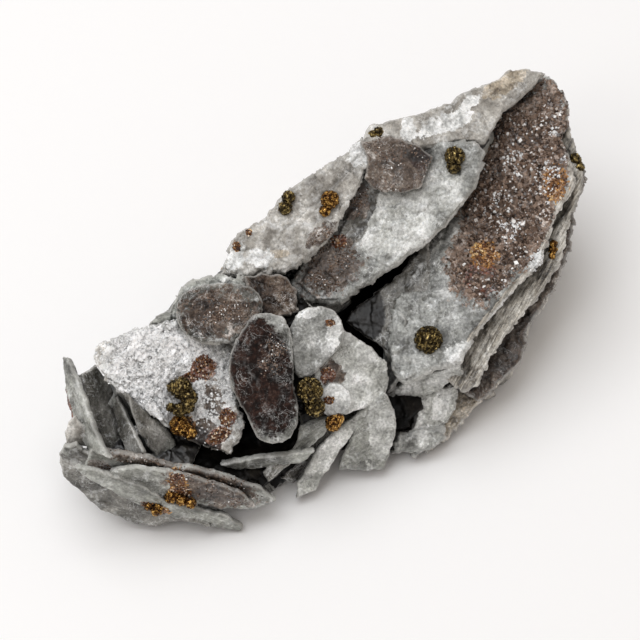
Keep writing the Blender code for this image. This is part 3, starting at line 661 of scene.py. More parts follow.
def calcite(name, coats, shine=0.5):
    """Milky calcite with its coats, white veins, flat breaks and grains, with painted shade in its pits and
    hollows and pale rims that are partly painted highlight.

    It looks soft and cloudy, because light goes a little way in, and each coat has its own shine.
    """
    made, tree, shader = new_material(name)
    place = add(tree, "TexCoord", out="Object")
    leaf = add(tree, "Attribute", attribute_name="leaf", out="Vector")
    colour, sugar, rough, milk = coated(tree, coats, place, leaf)
    web = add(tree, "Math", {0: milk, 1: 6.0, 2: 0.9}, operation="MULTIPLY_ADD", use_clamp=True)
    colour = veined(tree, colour, place, milk, web)
    # The real grains, about 0.2 mm across, are too fine to show, so these and the pits are drawn at 0.5 mm.
    sand = add(tree, "TexNoise", {"Vector": place, "Scale": 1 / (0.5 * MM), "Detail": 3.0, "Roughness": 0.6})
    sand = add(tree, "Math", {0: sand, 1: 0.5}, operation="SUBTRACT")
    coarse = add(tree, "Math", {0: sugar, 1: 2.2, 2: 1.1}, operation="MULTIPLY_ADD")
    grit = add(tree, "Math", {0: sand, 1: coarse, 2: 1.0}, operation="MULTIPLY_ADD")
    colour = add(tree, "VectorMath", {0: colour, "Scale": grit}, operation="SCALE")
    colour = fractured(tree, colour, place, leaf, milk)
    # Rims and broken edges are mixed towards pale grey: partly their paler broken calcite, partly painted
    # highlight where thin edges let light through and catch it.
    edge = add(tree, "Attribute", attribute_name="edge", out="Fac")
    edge = add(tree, "Math", {0: edge, 1: web}, operation="MULTIPLY")
    edge = add(tree, "Math", {0: edge, 1: 0.4}, operation="MULTIPLY")
    colour = add(tree, "Mix", {0: edge, 6: colour, 7: linear("d9d8d3")}, out=2, data_type="RGBA")
    # Pits between the sugary crumbs are darkened in the colour: painted shade in them.
    crumb = add(tree, "TexVoronoi", {"Vector": place, "Scale": 1 / (0.5 * MM)}, out="Color")
    pit = add(tree, "Math", {0: 1.0, 1: add(tree, "SeparateXYZ", {0: crumb})}, operation="SUBTRACT")
    pit = add(tree, "Math", {0: pit, 1: 2.5}, operation="POWER")
    clump = add(tree, "TexNoise", {"Vector": place, "Scale": 1 / (2.4 * MM), "Detail": 3.0, "Roughness": 0.6})
    clump = add(tree, "MapRange", {"Value": clump, 1: 0.47, 2: 0.6})
    pit = add(tree, "Math", {0: pit, 1: clump}, operation="MULTIPLY")
    pit = add(tree, "Math", {0: pit, 1: sugar}, operation="MULTIPLY")
    pit_shade = add(tree, "Math", {0: pit, 1: -0.8, 2: 1.04}, operation="MULTIPLY_ADD")
    colour = add(tree, "VectorMath", {0: colour, "Scale": pit_shade}, operation="SCALE")
    fine = add(tree, "TexNoise", {"Vector": place, "Scale": 1 / (1.6 * MM), "Detail": 8.0, "Roughness": 0.7})
    uneven = add(tree, "Math", {0: sugar, 1: 0.8, 2: 0.12}, operation="MULTIPLY_ADD")
    height = add(tree, "Math", {0: fine, 1: uneven}, operation="MULTIPLY")
    streak = add(tree, "VectorMath", {0: leaf, 1: (0.12, 1.0, 1.0)}, operation="MULTIPLY")
    streak = add(tree, "TexNoise", {"Vector": streak, "Scale": 1 / (0.9 * MM), "Detail": 4.0, "Roughness": 0.6})
    for layer, depth in ((streak, 0.12), (pit, -0.7), (sand, 0.12)):
        height = add(tree, "Math", {0: layer, 1: depth, 2: height}, operation="MULTIPLY_ADD")
    feed(tree, shader, {
        # The base colour carries painted shade in its hollows.
        "Base Color": shade_hollows(tree, colour, 8.0, 0.12, 0.6, samples=3),
        "Roughness": rough,
        "Subsurface Weight": add(tree, "Math", {0: milk, 1: 0.0}, operation="MAXIMUM"),
        "Subsurface Radius": (1.0, 0.95, 0.9),
        "Subsurface Scale": 0.7 * MM,
        "IOR": 1.6,
        "Specular IOR Level": shine,
        "Normal": add(tree, "Bump", {"Height": height, "Strength": 0.85, "Distance": 0.4 * MM}),
    })
    return made


def settle(piece, material, *nodes):
    """The piece in its finish, riding with the specimen and standing for these solids."""
    piece.data.materials.append(material)
    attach(piece, "root")
    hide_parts(*nodes)


def sugar_calcite(name, stops, roughness):
    """Small clear crystals, each with its own share of the colours. The palest few of the brown and rusty ones
    are painted white as glints.
    """
    made, tree, shader = new_material(name)
    tint = add(tree, "Attribute", attribute_name="tint", out="Fac")
    own = with_stops(add(tree, "ValToRGB", {"Fac": tint}), stops)
    # Painted shade darkens the hollows between the crystals.
    colour = shade_hollows(tree, own, 5.0, 0.05, 0.45, samples=2)
    feed(tree, shader, {"Base Color": colour, "Roughness": roughness, "IOR": 1.6})
    return made


# The near white top of the brown and rusty ramps is painted glints.
SUGARS = {
    "white": sugar_calcite("white calcite sugar", ((0.0, "e0e2e3"), (0.4, "f6f7f7"), (1.0, "ffffff")), 0.18),
    "brown": sugar_calcite("brown calcite sugar", ((0.0, "30231b"), (0.5, "675346"), (0.92, "9c8676"),
                                                   (0.97, "fdfcfa")), 0.12),
    "rust": sugar_calcite("rust stained calcite sugar", ((0.0, "24100a"), (0.5, "65391f"), (0.85, "96693c"),
                                                         (0.96, "fbe9cf")), 0.12),
}
# A rhomb is a cube turned onto its corner and pressed flatter.
CORNER_UP = math.radians(54.7)
RHOMB = (1.15, 1.15, 0.8)


def crystals(piece, kind, weight, count, size, seed):
    """Small rhombs seated in a piece's front where the weight says, each with a corner standing out."""
    points, normals = surface(piece.data)
    chance = np.random.default_rng(seed)
    likely = np.maximum(weight, 0) * (normals @ np.array(FRONT.out) > 0.1)
    likely = likely * (0.12 + eased(-0.2, 0.5, lumps(points / MM, 1.8, seed)))
    spots = chance.choice(len(points), size=count, p=likely / likely.sum(), replace=False)
    bm = bmesh.new()
    bmesh.ops.create_cube(bm, size=1.0, matrix=Matrix.Rotation(CORNER_UP, 4, (1, -1, 0)))
    bmesh.ops.scale(bm, vec=RHOMB, verts=bm.verts)
    corners = np.array([vert.co for vert in bm.verts])
    faces = np.array([[vert.index for vert in face.verts] for face in bm.faces])
    bm.free()
    outward = normals[spots] + chance.normal(0, 0.3, (count, 3))
    outward /= np.linalg.norm(outward, axis=1)[:, None]
    right = np.cross(outward, chance.normal(0, 1, (count, 3)))
    right /= np.linalg.norm(right, axis=1)[:, None]
    frames = np.stack([right, np.cross(outward, right), outward], axis=1)
    scale = size * MM * chance.lognormal(0, 0.3, (count, 1, 1)) * chance.uniform(0.75, 1.2, (count, 1, 3))
    placed = np.einsum("nij,njk->nik", corners * scale, frames) + points[spots][:, None, :]
    placed = np.clip(placed, *(np.array(corner) for corner in CAD_BOX))
    name = f"{piece.name}_{kind}_sugar"
    grown = bpy.data.meshes.new(name)
    rings = faces[None] + (np.arange(count) * len(corners))[:, None, None]
    grown.from_pydata(placed.reshape(-1, 3), [], rings.reshape(-1, faces.shape[1]))
    tint = np.repeat(chance.uniform(0, 1, count), len(corners))
    grown.attributes.new("tint", "FLOAT", "POINT").data.foreach_set("value", tint.astype(np.float32))
    settle(new_object(name, grown), SUGARS[kind], "calcite")


piece, values = skin("left_cup", LEFT_CUP, 0.25, coats=[("streaky",)], calm=LEFT_CUP)
settle(piece, calcite("calcite of the left cup", values), "calcite")
crystals(piece, "rust", values["gold"] - 0.4, 700, 0.22, 1)
crystals(piece, "brown", values["brown"] - 0.4, 500, 0.18, 2)


# A broad plate of calcite behind the cup, crusted white with sugary crystals that grew on it last. Its steep
# right edge is bare, and a thick mass buried in the cluster carries it.
PALE_PLATE = {
    "pale plate": Growth(
        [(18.8, 71), (19.6, 69.2), (21.6, 68), (26, 66.2), (30, 65.2), (36, 63.6), (43, 65), (48, 68),
         (46.6, 73), (47.2, 79), (49, 84.4), (48.2, 87.2), (45.6, 90.8), (41, 89.2), (38, 88), (34.4, 86),
         (29, 82.4), (24, 78.4), (21.2, 75.8), (19.2, 73.2)],
        22.9, (3, -8), 3, 1.2,
        coats=[("clear", 34, 76, 30, 30), ("white", 35.4, 76, 16, 12.5, 25),
               ("frost", 34.6, 75.4, 12.6, 9.6, 25), ("rust", 40.8, 73.6, 2.4, 2.4, -30),
               ("rust", 38.4, 75.4, 2.2, 1, -10), ("rust", 45.6, 83.4, 1.7, 1.9),
               ("rust", 43.8, 87, 2.6, 1.5, -30), ("brown", 42.8, 79.6, 1.9, 4),
               ("brown", 41.4, 85.4, 2.6, 1.6, 20), ("gold", 36.8, 85.6, 2.4, 2.4, 10),
               ("dark", 39.4, 87.6, 5.6, 2.4, 25)]),
    "mass under the pale plate": Growth(
        [(23, 70.4), (31, 66.2), (36, 64.8), (45, 66), (46, 78), (42, 84), (34, 82), (26, 76.6)],
        23.4, (3, -8), 1, 1.6, below=17, coats=[("deep",)]),
}
piece, values = skin("pale_plate", PALE_PLATE, 0.25)
settle(piece, calcite("sugar crusted calcite", values), "calcite")
crystals(piece, "white", values["frost"] * (1 - np.minimum(values["rust"] * 2, 1)), 900, 0.22, 3)
crystals(piece, "rust", values["rust"] + values["gold"] - 0.45, 900, 0.2, 4)


# Between the pale plate and the ridge lie two dark discs, one flat and one on edge, brown to black. Their rims
# are pale, and a grey plate and a thick mass carry them.
DARK_DISCS = {
    "grey plate behind the dark discs": Growth(
        [(30, 65.2), (33, 62.4), (35.2, 60), (37, 57.4), (40, 56), (44, 55.1), (50, 56), (52.6, 60),
         (48, 65.6), (38, 66.4)],
        31, (-5, 15), 3, 1.2, below=9, curved=True, coats=[("streaky", 42, 60, 20, 20)]),
    "lying dark disc": Growth(
        [(35.2, 61.8), (37, 58.6), (41, 57), (47, 56.7), (51, 58), (52.6, 60.8), (51.6, 64.4), (48, 67.8),
         (43, 69), (39, 68.2), (36.2, 65.8)],
        33.4, (0, 12), 2.4, 1, curved=True,
        coats=[("smoky",), ("brown", 43.6, 62.4, 7.6, 4.9), ("sparkle", 44, 61.4, 5.4, 3)]),
    "standing dark disc": Growth(
        [(51, 63), (54.4, 62.8), (57, 63.8), (58.4, 68), (58.8, 73), (58.8, 77), (59.7, 81), (59.6, 84.2),
         (58, 87.4), (55.6, 88.6), (52.4, 88), (50.8, 86.2), (49.4, 83), (47, 79), (45.8, 75), (46.4, 70),
         (48.6, 65.8)],
        26.8, (8, -12), 2.8, 1.1, curved=True,
        coats=[("dark", 52.7, 75.2, 6.3, 12.2, -12), ("sparkle", 54.6, 71.6, 2.6, 4)]),
    "foot of the standing disc": Growth(
        [(49, 67), (57, 65.6), (58, 78), (54, 83), (49, 78)],
        26.8, (8, -12), 1, 1, below=14, coats=[("deep",)]),
    "dark chip at the ridge foot": Growth(
        [(49, 55.4), (52.4, 54.6), (57.2, 55.4), (59.2, 58), (59.6, 62.4), (55, 64), (51.6, 62.6), (50, 59)],
        33.2, (10, 4), 2.4, 0.9, below=5, coats=[("brown",)]),
    "mass under the discs": Growth(
        [(34, 63), (49, 58), (60, 60), (67, 66), (72, 73), (67, 80), (57, 81), (49, 76), (37, 70)],
        24.8, (5, -6), 1, 4, below=20, coats=[("deep",)]),
}
piece, values = skin("dark_discs", DARK_DISCS, 0.27, calm=("lying dark disc", "standing dark disc"))
settle(piece, calcite("calcite of the dark discs", values, shine=0.15), "calcite")
crystals(piece, "brown", values["sparkle"] - 0.2, 700, 0.16, 5)


# The middle fan: light plates and blades of calcite, on edge and on face, that spread downwards from under the
# standing disc. They are rooted in one mass between them, whose middle is painted near black as shade.
MIDDLE_FAN = {
    "oval plate": Growth(
        [(60, 62.4), (63.6, 61.2), (67, 62.4), (68.8, 65.6), (68, 69.2), (65.2, 72.2), (62.4, 75),
         (59.6, 75.4), (58.2, 72), (58, 66)],
        29.6, (12, -3), 2.4, 1, curved=True,
        coats=[("white", 67.2, 66, 1.5, 4, 20), ("white", 62, 62.6, 2.6, 0.9, -15),
               ("gold", 66, 64.6, 0.9, 0.7)]),
    "plate right of the oval": Growth(
        [(67, 63.6), (69, 66), (72, 68), (75, 70), (77.2, 72.4), (77.8, 75.6), (77, 79), (73, 81.4), (69, 83),
         (65, 81), (62, 76), (63, 69)],
        22, (22, -8), 2.6, 1, below=6,
        coats=[("brown", 66.6, 74.6, 2.4, 2.4), ("rust", 65.6, 75.2, 1.5, 1.8), ("pale",)]),
    "fan plate": Growth(
        [(71.2, 82.4), (74, 80.4), (76.8, 78.4), (78, 79.8), (78.8, 82), (79.4, 84.8), (79, 87), (77.6, 91.6),
         (76.8, 93.8), (73.6, 94.2), (67.6, 93.8), (68.2, 91.6), (69.4, 89.4), (70.6, 86)],
        9.4, (10, -30), 2.2, 0.9, coats=[("pale", 76.4, 85, 2.6, 7)]),
    "right splayed blade": Growth(
        [(72, 82.4), (68.6, 84.6), (66, 87), (64, 89), (62.4, 91), (61.6, 93), (59.6, 96.4), (59.2, 99.7),
         (60.8, 99), (63, 98), (64.6, 95.4), (66.6, 92.4), (69.4, 88.2), (71.2, 85.4)],
        7.8, (20, -25), 2, 0.8, coats=[("pale",)]),
    "left splayed blade": Growth(
        [(60, 85), (64.4, 83.2), (66.4, 82.4), (65.2, 86.4), (61, 90.2), (57, 93.6), (53.6, 96.3),
         (52.5, 94.4), (56, 91.6), (58.4, 90.4), (59.4, 88)],
        12.5, (15, -25), 2, 0.8, coats=[("smoky", 56, 93, 4, 4)]),
    "dark blade between": Growth(
        [(60, 88), (63.6, 86), (67, 86), (66, 90.6), (62.6, 94), (58.6, 96.6), (56, 95.6), (58, 92)],
        7.4, (10, -25), 1.8, 0.7, coats=[("smoky", 61, 91, 9, 9)]),
    "edge blade over the hollow": Growth(
        [(44, 92.8), (49, 91.8), (53, 91.1), (58.4, 90.6), (63, 90), (61, 92), (54, 93.2), (48, 93.6)],
        11.2, (4, -52), 1.6, 0.4),
    "small round plate": Growth(
        [(63.6, 79), (65, 77), (67.4, 76.6), (69.6, 78), (70.2, 80.4), (69, 82.8), (66.4, 83.4), (64.2, 82)],
        20.6, (5, -10), 2, 0.8, below=4, curved=True,
        coats=[("white", 66.8, 80.2, 5, 5), ("gold", 65.9, 80, 1, 0.8)]),
    "mass under the fan": Growth(
        [(60, 83), (70, 78), (77, 80), (76, 86), (70, 88), (62, 90)],
        11, (12, -24), 1, 2, below=14, coats=[("deep", 63, 86, 5, 6)]),
}
piece, values = skin("middle_fan", MIDDLE_FAN, 0.25, coats=[("streaky", 66, 84, 60, 9)], calm=MIDDLE_FAN)
settle(piece, calcite("calcite of the middle fan", values), "calcite")
crystals(piece, "rust", values["gold"] + values["rust"] - 0.35, 170, 0.2, 11)


# The ridge: two long overlapping plates of clear to milky calcite, stained brown and rusty in places. Both grew
# on thick masses that are buried below them.
RIDGE = {
    "left ridge plate": Growth(
        [(44, 55.2), (45.6, 51), (46.4, 48), (49, 45.6), (52.4, 44), (56, 39.4), (60, 36.4), (65, 33.2),
         (70, 30), (72.4, 27.4), (75, 31), (72, 37), (68.6, 43), (66, 48), (62, 51.6), (59, 54), (54, 55.2),
         (48, 56)],
        37.4, (-2, 3), 4, 1.6,
        coats=[("brown", 64, 47, 3.4, 1.6, -35), ("cream", 55.4, 50.8, 2.6, 0.9), ("clear",),
               ("white", 47, 51.6, 1.8, 3, 30), ("white", 52, 51.6, 2.6, 1.8), ("white", 72, 31, 2.4, 2.4),
               ("gold", 49.8, 46.6, 0.6, 0.6), ("gold", 47.3, 49.2, 0.8, 1)]),
    "right ridge plate": Growth(
        [(60, 52.4), (62, 48), (66, 40), (69, 33), (75, 28), (80, 27), (92, 28.2), (95.6, 28.6), (97.2, 31),
         (96, 34.4), (95, 37.6), (93.2, 40.2), (89, 45.6), (84, 50), (80.4, 52.4), (74.4, 56.6), (70.4, 59.4),
         (68.4, 61.2), (64, 60.6), (60, 60.6), (57.6, 57)],
        34.3, (-5, 3), 4.5, 1.6,
        coats=[("brown", 66, 53.6, 6.6, 4.8, -35), ("pale", 82, 42, 12, 8, -30),
               ("smoky", 72, 40.6, 3, 9, 20), ("brown", 71, 40, 3, 4, 20), ("rust", 67.8, 48.2, 1.6, 1.3)]),
    "mass under the left ridge plate": Growth(
        [(47, 50.6), (56, 42.4), (68, 33.4), (72, 35), (66, 46), (60, 52), (50, 54.4)],
        35.8, (-2, 3), 1, 1.5, below=12, coats=[("deep",)]),
    "mass under the ridge": Growth(
        [(48, 51), (57, 43), (67, 36), (75, 28.6), (90, 23.4), (97, 21.4), (98, 27), (92, 38), (83, 46),
         (73, 52), (58, 55)],
        36, (0, 5), 1, 3, below=28, coats=[("deep",)]),
}
piece, values = skin("ridge", RIDGE, 0.32)
settle(piece, calcite("calcite of the ridge", values), "calcite")
crystals(piece, "rust", values["gold"] + values["rust"] - 0.35, 130, 0.2, 12)
crystals(piece, "brown", values["brown"] - 0.45, 700, 0.15, 6)


# The crest: a thick plate of clear calcite with white frosting, which runs up to the right from behind a brown
# disc. Both grew onto the ridge.
CREST = {
    "disc on the ridge": Growth(
        [(72, 28.2), (74, 27.4), (78, 27.2), (84, 29.2), (86.4, 31.4), (85.2, 34.5), (84, 37.8), (80.6, 38.4),
         (77, 38.6), (74.8, 38), (72.8, 35.8), (73.6, 32.6)],
        44.2, (3, -5), 2.6, 0.8, below=5, coats=[("brown", 79, 33, 20, 20), ("dark", 84, 31.8, 2, 2.2)]),
    "crest": Growth(
        [(72.2, 28.2), (73.8, 25.2), (82, 23.4), (90, 20.6), (93, 18.2), (98.4, 16.4), (101.6, 14.2),
         (105, 13.7), (109, 14.8), (105, 19), (100.6, 22.6), (98, 27), (97, 28.8), (91, 29), (86, 30),
         (79, 29.6)],
        44.2, (17, 19), 4.4, 1.1,
        coats=[("cream", 101, 16.6, 5, 2, -35), ("clear",), ("white", 81.6, 26, 1.6, 2.4),
               ("white", 94, 20.6, 2.4, 1.2, -30), ("white", 89, 24.6, 6, 1.8, -20)]),
}
piece, values = skin("crest", CREST, 0.27, calm=CREST)
settle(piece, calcite("calcite of the crest", values), "calcite")
crystals(piece, "brown", values["brown"] - 0.45, 250, 0.15, 7)


# The right end: a thick slab with a brown sparkling druse over its upper face, and a shelf in the hollow on
# its left, its colour painted dark as the shade that the ridge casts there. Where it has a sparkle, white
# crystals stand among the brown ones, partly white calcite and partly painted glints.
DRUSE_SLAB = {
    "druse slab": Growth(
        [(109, 14.8), (111.2, 16.4), (112.4, 18.4), (114.2, 22), (113.4, 25), (112.4, 28), (114, 31.6),
         (115.2, 36), (114.2, 39), (111.2, 43), (110, 47), (108, 53), (104, 56.4), (101, 60), (98, 63.6),
         (95, 67), (93.6, 70), (92.4, 72.6), (88, 73.8), (84, 75.4), (80.4, 76.8), (78.4, 74), (77.6, 68),
         (79, 60), (84, 46), (91, 32), (98, 21), (104, 16.4)],
        29.3, (-8.5, 19), 4, 1.5,
        coats=[("druse", 103.4, 36, 8.6, 21, 22), ("druse", 96.6, 52, 7, 9, 25),
               # The dark strip at (99, 30) is painted shadow cast by the ridge plates, over brown druse.
               ("druse", 105.6, 45, 4.4, 10, 22), ("dark", 99, 30, 3, 13, 28), ("gold", 97, 51, 2.9, 2.8),
               ("gold", 82, 54.4, 1, 0.7), ("rust", 96.4, 55.4, 3.2, 3.4), ("gold", 111, 36.6, 2.6, 3.6),
               ("frost", 99, 42.4, 1.2, 3.2, 40), ("white", 107.6, 52.4, 1.8, 2.6, 20),
               ("white", 101, 62, 1.6, 7, 42), ("strata", 98.6, 65.4, 1.6, 8, 42),
               ("white", 92, 70.4, 3.4, 2, -20), ("frost", 112.6, 32, 0.9, 1.2),
               ("sparkle", 102.6, 31.8, 2.4, 3), ("sparkle", 109, 34.8, 3, 3.2),
               ("sparkle", 99.6, 41.5, 3.4, 3.2), ("sparkle", 101.7, 46, 2.3, 2.8),
               ("sparkle", 110.8, 26.4, 1.4, 0.8), ("sparkle", 107.4, 52, 1.6, 2.4, 20),
               ("leaves", 113, 38, 5, 17, 8), ("leaves", 101, 63, 4, 13, 42)]),
    # Its smoky and deep coats are painted shade: the ridge plates shade this shelf.
    "shelf in the hollow": Growth(
        [(69, 64.4), (71, 61.6), (75, 58.6), (80, 54.6), (86, 47), (86, 60), (82, 70), (78.6, 74),
         (76.4, 69.6), (72.6, 66.8)],
        22.4, (-8, 12), 2, 0.8, below=4, coats=[("smoky",), ("deep", 71.6, 63, 5.6, 6.4)]),
    "mass under the slabs": Growth(
        [(85, 68), (83, 57), (88, 47), (96, 36), (103, 25), (109, 25), (111, 36), (109, 48), (101, 60),
         (94, 69)],
        26, (-8, 15), 1, 4, below=26, coats=[("deep",)]),
}
piece, values = skin("druse_slab", DRUSE_SLAB, 0.31)
settle(piece, calcite("druse crusted calcite", values, shine=0.35), "calcite")
druse = np.maximum(values["druse"], values["dark"]) * (1 - 0.8 * values["gold"])
crystals(piece, "brown", druse - 0.5, 3600, 0.34, 8)
crystals(piece, "rust", values["gold"] - 0.5, 350, 0.18, 9)
# The white crystals on the sparkle spots are partly white calcite and partly painted glints.
crystals(piece, "white", values["sparkle"] - 0.3, 550, 0.24, 10)


# Thinner slabs of the same layered calcite lie under the druse slab, one below the other. Their broken edges
# show its cream, grey and brown layers.
SLAB_STACK = {
    "second slab": Growth(
        [(113.6, 25), (115.2, 30), (116.6, 36), (115.6, 40), (114, 44), (113, 49), (111.4, 54), (107, 60),
         (102, 66), (98, 71), (97, 74), (95.6, 77), (92.4, 78.4), (89, 76), (88, 66), (94, 50), (104, 30)],
        23.4, (-8, 17), 3.4, 1.4, coats=[("cream", 100, 64, 30, 40), ("strata", 100, 60, 60, 60)]),
    "third slab": Growth(
        [(114.2, 28.6), (116.4, 31.6), (117.8, 35.8), (116.4, 38.8), (114.8, 41.4), (115, 44.6), (114, 50),
         (112.4, 54.4), (110.4, 58.6), (107, 63.6), (105, 67.4), (105.6, 68.8), (104, 73), (99.6, 77),
         (98, 79), (95.6, 80.4), (91, 78), (92, 68), (100, 50), (108, 34)],
        18, (-5, 12), 3.8, 1.6,
        coats=[("brown", 104, 60, 30, 30), ("strata", 98, 76, 12, 14), ("strata", 113, 40, 9, 14)]),
    "lowest slab": Growth(
        [(110, 30), (115, 37), (114.4, 43), (114, 49), (111, 57.6), (107, 64), (104.4, 70), (101.6, 75.4),
         (97, 79.6), (92, 81), (90, 74), (98, 56), (106, 40)],
        11, (0, 8), 4.6, 1.8, below=8, coats=[("cream", 100, 70, 9, 9), ("leaves",)]),
}
piece, values = skin("slab_stack", SLAB_STACK, 0.33)
settle(piece, calcite("calcite of the slab stack", values), "calcite")


# Under the slabs' left end stand a short wall and a foot of small calcite plates, grey above and beige below.
# They close the corner between the slabs, the fan and the table.
SLAB_FOOT = {
    "plate under the slab's foot": Growth(
        [(77, 78.4), (80, 76.6), (84, 75), (88, 73.6), (92, 72.6), (92.6, 74.6), (89, 77), (84, 79.8),
         (80, 81.3), (78, 80.8)],
        13.2, (0, -46), 2, 0.8, below=4, coats=[("pale",)]),
    "foot face": Growth(
        [(82.4, 80.4), (85, 79), (88, 77.2), (91, 76.8), (91.6, 79), (91, 81.8), (89.4, 84.4), (86.8, 86.4),
         (83.4, 88.2), (82, 86)],
        7.6, (15, -15), 2.4, 1, below=5, coats=[("pale",), ("white", 88.4, 81, 1.8, 3.6, 25)]),
    "rounded foot": Growth(
        [(79.6, 86.6), (83, 85.8), (86, 85.6), (89, 85.4), (89.4, 87.6), (86, 90), (83, 91.4), (80.6, 90.4),
         (78.4, 90.7), (78.2, 88.4)],
        3.6, (5, -20), 4, 1.4, below=6),
    "beige foot": Growth(
        [(89, 76), (94, 74), (99.8, 76.8), (95.6, 80.8), (92.8, 84.2), (89, 88.2), (85.4, 90.2), (83.4, 87),
         (87, 82)],
        4.4, (5, 0), 4, 1, below=6, coats=[("cream",)]),
    "wall beside the hollow": Growth(
        [(78.2, 61.6), (80, 62), (81.2, 64), (80.8, 68), (80.2, 72), (79.4, 76), (77.8, 78.6), (76.6, 75),
         (77, 70), (77.4, 65)],
        18.9, (-42, 0), 1.8, 0.6),
}
# The deep patch on the foot paints the shade of the hollow beside it.
piece, values = skin("slab_foot", SLAB_FOOT, 0.25, coats=[("deep", 81, 83.4, 2.4, 3.4)])
settle(piece, calcite("calcite of the slab foot", values), "calcite")


# The foot of the cluster: two masses of calcite, broken off their rock and flat below, painted near black all
# over as the shade under the plates. They carry every plate and rest on the table.
BASE = {
    "left base": Growth(
        [(20, 76), (22, 90), (34, 97), (50, 95), (62, 89), (70, 78), (66, 68), (52, 62), (34, 67)],
        8, (0, 0), 1, 3, below=10, sheet=PLAN),
    "right base": Growth(
        [(66, 84), (82, 81), (96, 67), (108, 48), (112, 34), (108, 21), (96, 20), (78, 33), (62, 50),
         (58, 66)],
        10, (0, 0), 2, 2, below=12, sheet=PLAN),
}
piece, values = skin("base", BASE, 0.5, coats=[("deep",)])
settle(piece, calcite("calcite of the base", values, shine=0.1), "calcite")


# The back, which leans out over the table in coarse overlapping slabs of grey calcite. Two thick masses below
# them join them to the ridge and the base.
REAR_PLATES = {
    "rear mass right": Growth(
        [(6, 60), (20, 57), (40, 56), (52, 61), (60, 68), (52, 80), (36, 86), (16, 82), (6, 72)],
        21.4, (0, -10), 1, 3, below=12, coats=[("smoky",)]),
    "rear mass left": Growth(
        [(54, 64), (70, 66), (86, 69), (98, 72), (96, 82), (80, 88), (62, 86), (52, 76)],
        18.6, (2, -8), 1, 3, below=20, coats=[("smoky",)]),
    "rear ridge slab": Growth(
        [(3.4, 57), (12, 54.4), (24, 53.6), (35, 53.6), (43, 56), (48, 60), (44, 66), (34, 70), (22, 68),
         (12, 71), (5, 66)],
        28.2, (0, -10), 3, 1.3, below=5),
    "rear end slab": Growth(
        [(2, 63), (10, 60), (20, 64), (26, 71), (24, 79), (16, 84), (8, 81), (3, 74)],
        17.6, (-14, -12), 3.2, 1.4, below=6),
    "rear middle slab": Growth(
        [(20, 67), (30, 64), (42, 66), (53, 62), (62, 69), (57, 76), (48, 79), (39, 85), (28, 80), (22, 74)],
        21, (4, -14), 3.2, 1.4, below=6, coats=[("brown", 40, 74, 12, 6, 10)]),
    "rear blade across": Growth(
        [(42, 60), (50, 57), (62, 61), (72, 66), (81, 73), (72, 73.6), (60, 70), (49, 66)],
        27.6, (10, -4), 2.4, 1, below=4),
    "rear low slab": Growth(
        [(25, 82), (36, 78), (48, 81), (60, 77), (66, 84), (61, 91), (47, 94), (33, 92), (26, 88)],
        9.4, (-4, -20), 3.2, 1.4, below=6, coats=[("cream", 44, 88, 30, 8)]),
    "rear upper left plate": Growth(
        [(55, 59), (64, 61), (74, 64), (83, 66), (89, 69), (84, 73), (72, 74), (62, 71), (55, 66)],
        26.6, (4, -6), 2.6, 1.1, below=5),
    "rear lower left plate": Growth(
        [(60, 74), (70, 70), (82, 73), (92, 71), (98, 77), (91, 84), (80, 88), (68, 86), (61, 81)],
        15.6, (2, -16), 3, 1.3, below=6),
    "rear left blade": Growth(
        [(87, 66), (95, 65), (103, 70), (107, 76), (103, 82), (95, 80), (89, 74)],
        19.6, (14, -10), 2.4, 1, below=6),
    "rear left foot": Growth(
        [(70, 87), (82, 84), (94, 82), (102, 85), (97, 91), (86, 95), (74, 94)],
        6.8, (10, -22), 3, 1.2, below=6),
    "rear right foot": Growth(
        [(4, 81), (12, 78), (20, 80), (28, 86), (25, 92), (16, 91), (7, 88)],
        6, (-14, -20), 3.2, 1.3, below=6),
}
piece, values = skin("rear_plates", REAR_PLATES, 0.42, sheet=REAR)
settle(piece, calcite("calcite of the rear plates", values), "calcite")


# Pyrite: round clusters of tiny knobs and cubes, brassy where clean and brown where tarnished. A cluster is a
# list of lumps: (across, down, height of the middle, radius).
PYRITE_BEADS = {
    "pyrite_on_pale_plate": [
        (36.3, 77.6, 25.0, 2.3), (34.9, 77.4, 25.2, 1.5), (37.8, 79.4, 24.0, 1.9), (37.5, 81.2, 23.0, 1.6),
        (36.0, 81.9, 22.6, 1.5), (34.2, 81.4, 22.4, 1.0),
    ],
    "pyrite_below_pale_plate": [(36.0, 85.0, 19.0, 2.1), (38.0, 86.4, 17.9, 1.5)],
    "pyrite_on_oval_plate": [(62.0, 78.0, 24.8, 2.7), (63.0, 81.4, 21.8, 2.1)],
    "pyrite_on_small_plate": [(66.6, 84.6, 18.6, 1.7), (67.8, 83.8, 19.0, 1.2)],
    "pyrite_pair_left_on_ridge": [(57.7, 39.5, 42.0, 1.4), (57.0, 41.6, 40.8, 1.5)],
    "pyrite_pair_right_on_ridge": [(66.0, 40.0, 41.6, 1.9), (65.0, 42.2, 40.2, 1.2)],
    "pyrite_beside_disc": [(90.9, 31.3, 45.1, 2.1), (90.7, 33.4, 43.6, 1.5)],
    "pyrite_on_crest": [(75.6, 26.5, 49.0, 1.15), (74.4, 26.9, 49.1, 0.95)],
    "pyrite_ball_on_druse_slab": [(85.6, 68.0, 23.4, 2.9)],
    "pyrite_at_slab_edge": [(115.1, 31.8, 33.2, 1.3), (115.9, 33.4, 32.4, 1.2)],
    "pyrite_low_on_slabs": [(110.7, 48.8, 27.7, 0.9), (110.6, 50.0, 27.2, 1.0), (110.4, 51.2, 26.7, 0.8)],
    "pyrite_on_inner_petal": [(34.4, 99.2, 11.0, 1.5), (36.3, 99.9, 10.8, 1.2), (38.2, 100.5, 10.6, 1.2)],
    "pyrite_on_outer_petal": [(31.4, 101.8, 8.6, 1.4), (29.8, 101.0, 9.0, 1.1)],
}
RUSTY_BEADS = ("pyrite_below_pale_plate", "pyrite_on_small_plate", "pyrite_low_on_slabs",
               "pyrite_on_inner_petal", "pyrite_on_outer_petal", "pyrite_pair_right_on_ridge")


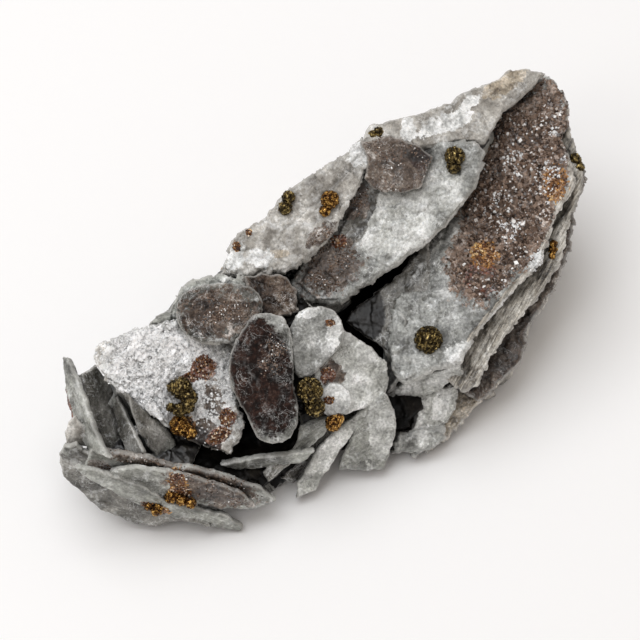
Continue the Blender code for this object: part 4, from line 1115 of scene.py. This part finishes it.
def pyrite(name, codes):
    """Tarnished pyrite: a metal in knobbly clusters, brown to black with brassy patches where it is clean."""
    made, tree, shader = new_material(name)
    place = add(tree, "TexCoord", out="Object")
    patch = add(tree, "TexNoise", {"Vector": place, "Scale": 1 / (0.7 * MM), "Detail": 6.0, "Roughness": 0.7})
    tarnish = with_stops(add(tree, "ValToRGB", {"Fac": patch}), zip((0.44, 0.52, 0.6), codes))
    feed(tree, shader, {"Base Color": tarnish, "Metallic": 0.85, "Roughness": 0.22})
    return made


OLIVE_PYRITE = pyrite("tarnished pyrite", ("241d11", "55482a", "a8935f"))
ORANGE_PYRITE = pyrite("rusty pyrite", ("2a1809", "7a521f", "dfb468"))


# A lump's core has this share of its radius. On it stand knobs and cubes, once to twice as large as KNOB,
# which is as fine as still shows, and this many for each mm2 of the radius squared. Three-sided faces larger
# than this in mm2 are shaded smooth.
CORE = 0.9
KNOB = 0.22
CROWD = 44
SMOOTH_FACE = 0.04


def bead(name, lump_sizes):
    """A cluster's round lumps, each covered with small knobs and a few cube corners, as one mesh."""
    chance = random.Random(name)
    bm = bmesh.new()
    for across, down, height, radius in lump_sizes:
        centre = FRONT.at(across, down, height)
        turn = Matrix.Rotation(across, 4, (0.3, 1.0, 0.5))
        bmesh.ops.create_icosphere(bm, subdivisions=3, radius=radius * CORE,
                                   matrix=Matrix.Translation(centre) @ turn)
        for index in range(int(CROWD * radius * radius)):
            side = KNOB + KNOB * chance.random()
            way = Vector((chance.gauss(0, 1), chance.gauss(0, 1), chance.gauss(0, 1))).normalized()
            spin = Matrix.Rotation(chance.uniform(0, 6.28), 4, way)
            spin = spin @ Matrix.Rotation(chance.uniform(0, 1.0), 4, "X")
            seat = Matrix.Translation(centre + way * (radius - 0.75 * side)) @ spin
            if index % 2:
                bmesh.ops.create_icosphere(bm, subdivisions=1, radius=side, matrix=seat)
            else:
                bmesh.ops.create_cube(bm, size=side, matrix=seat)
    bm.transform(Matrix.Scale(MM, 4))
    low, high = CAD_BOX
    for vert in bm.verts:
        vert.co = [min(max(vert.co[axis], low[axis]), high[axis]) for axis in range(3)]
    for face in bm.faces:
        face.smooth = len(face.verts) == 3 and face.calc_area() > SMOOTH_FACE * MM * MM
    return mesh_object(name, bm)


for cluster, sizes in PYRITE_BEADS.items():
    finish = ORANGE_PYRITE if cluster in RUSTY_BEADS else OLIVE_PYRITE
    settle(bead(f"{cluster}_crystals", sizes), finish, cluster)
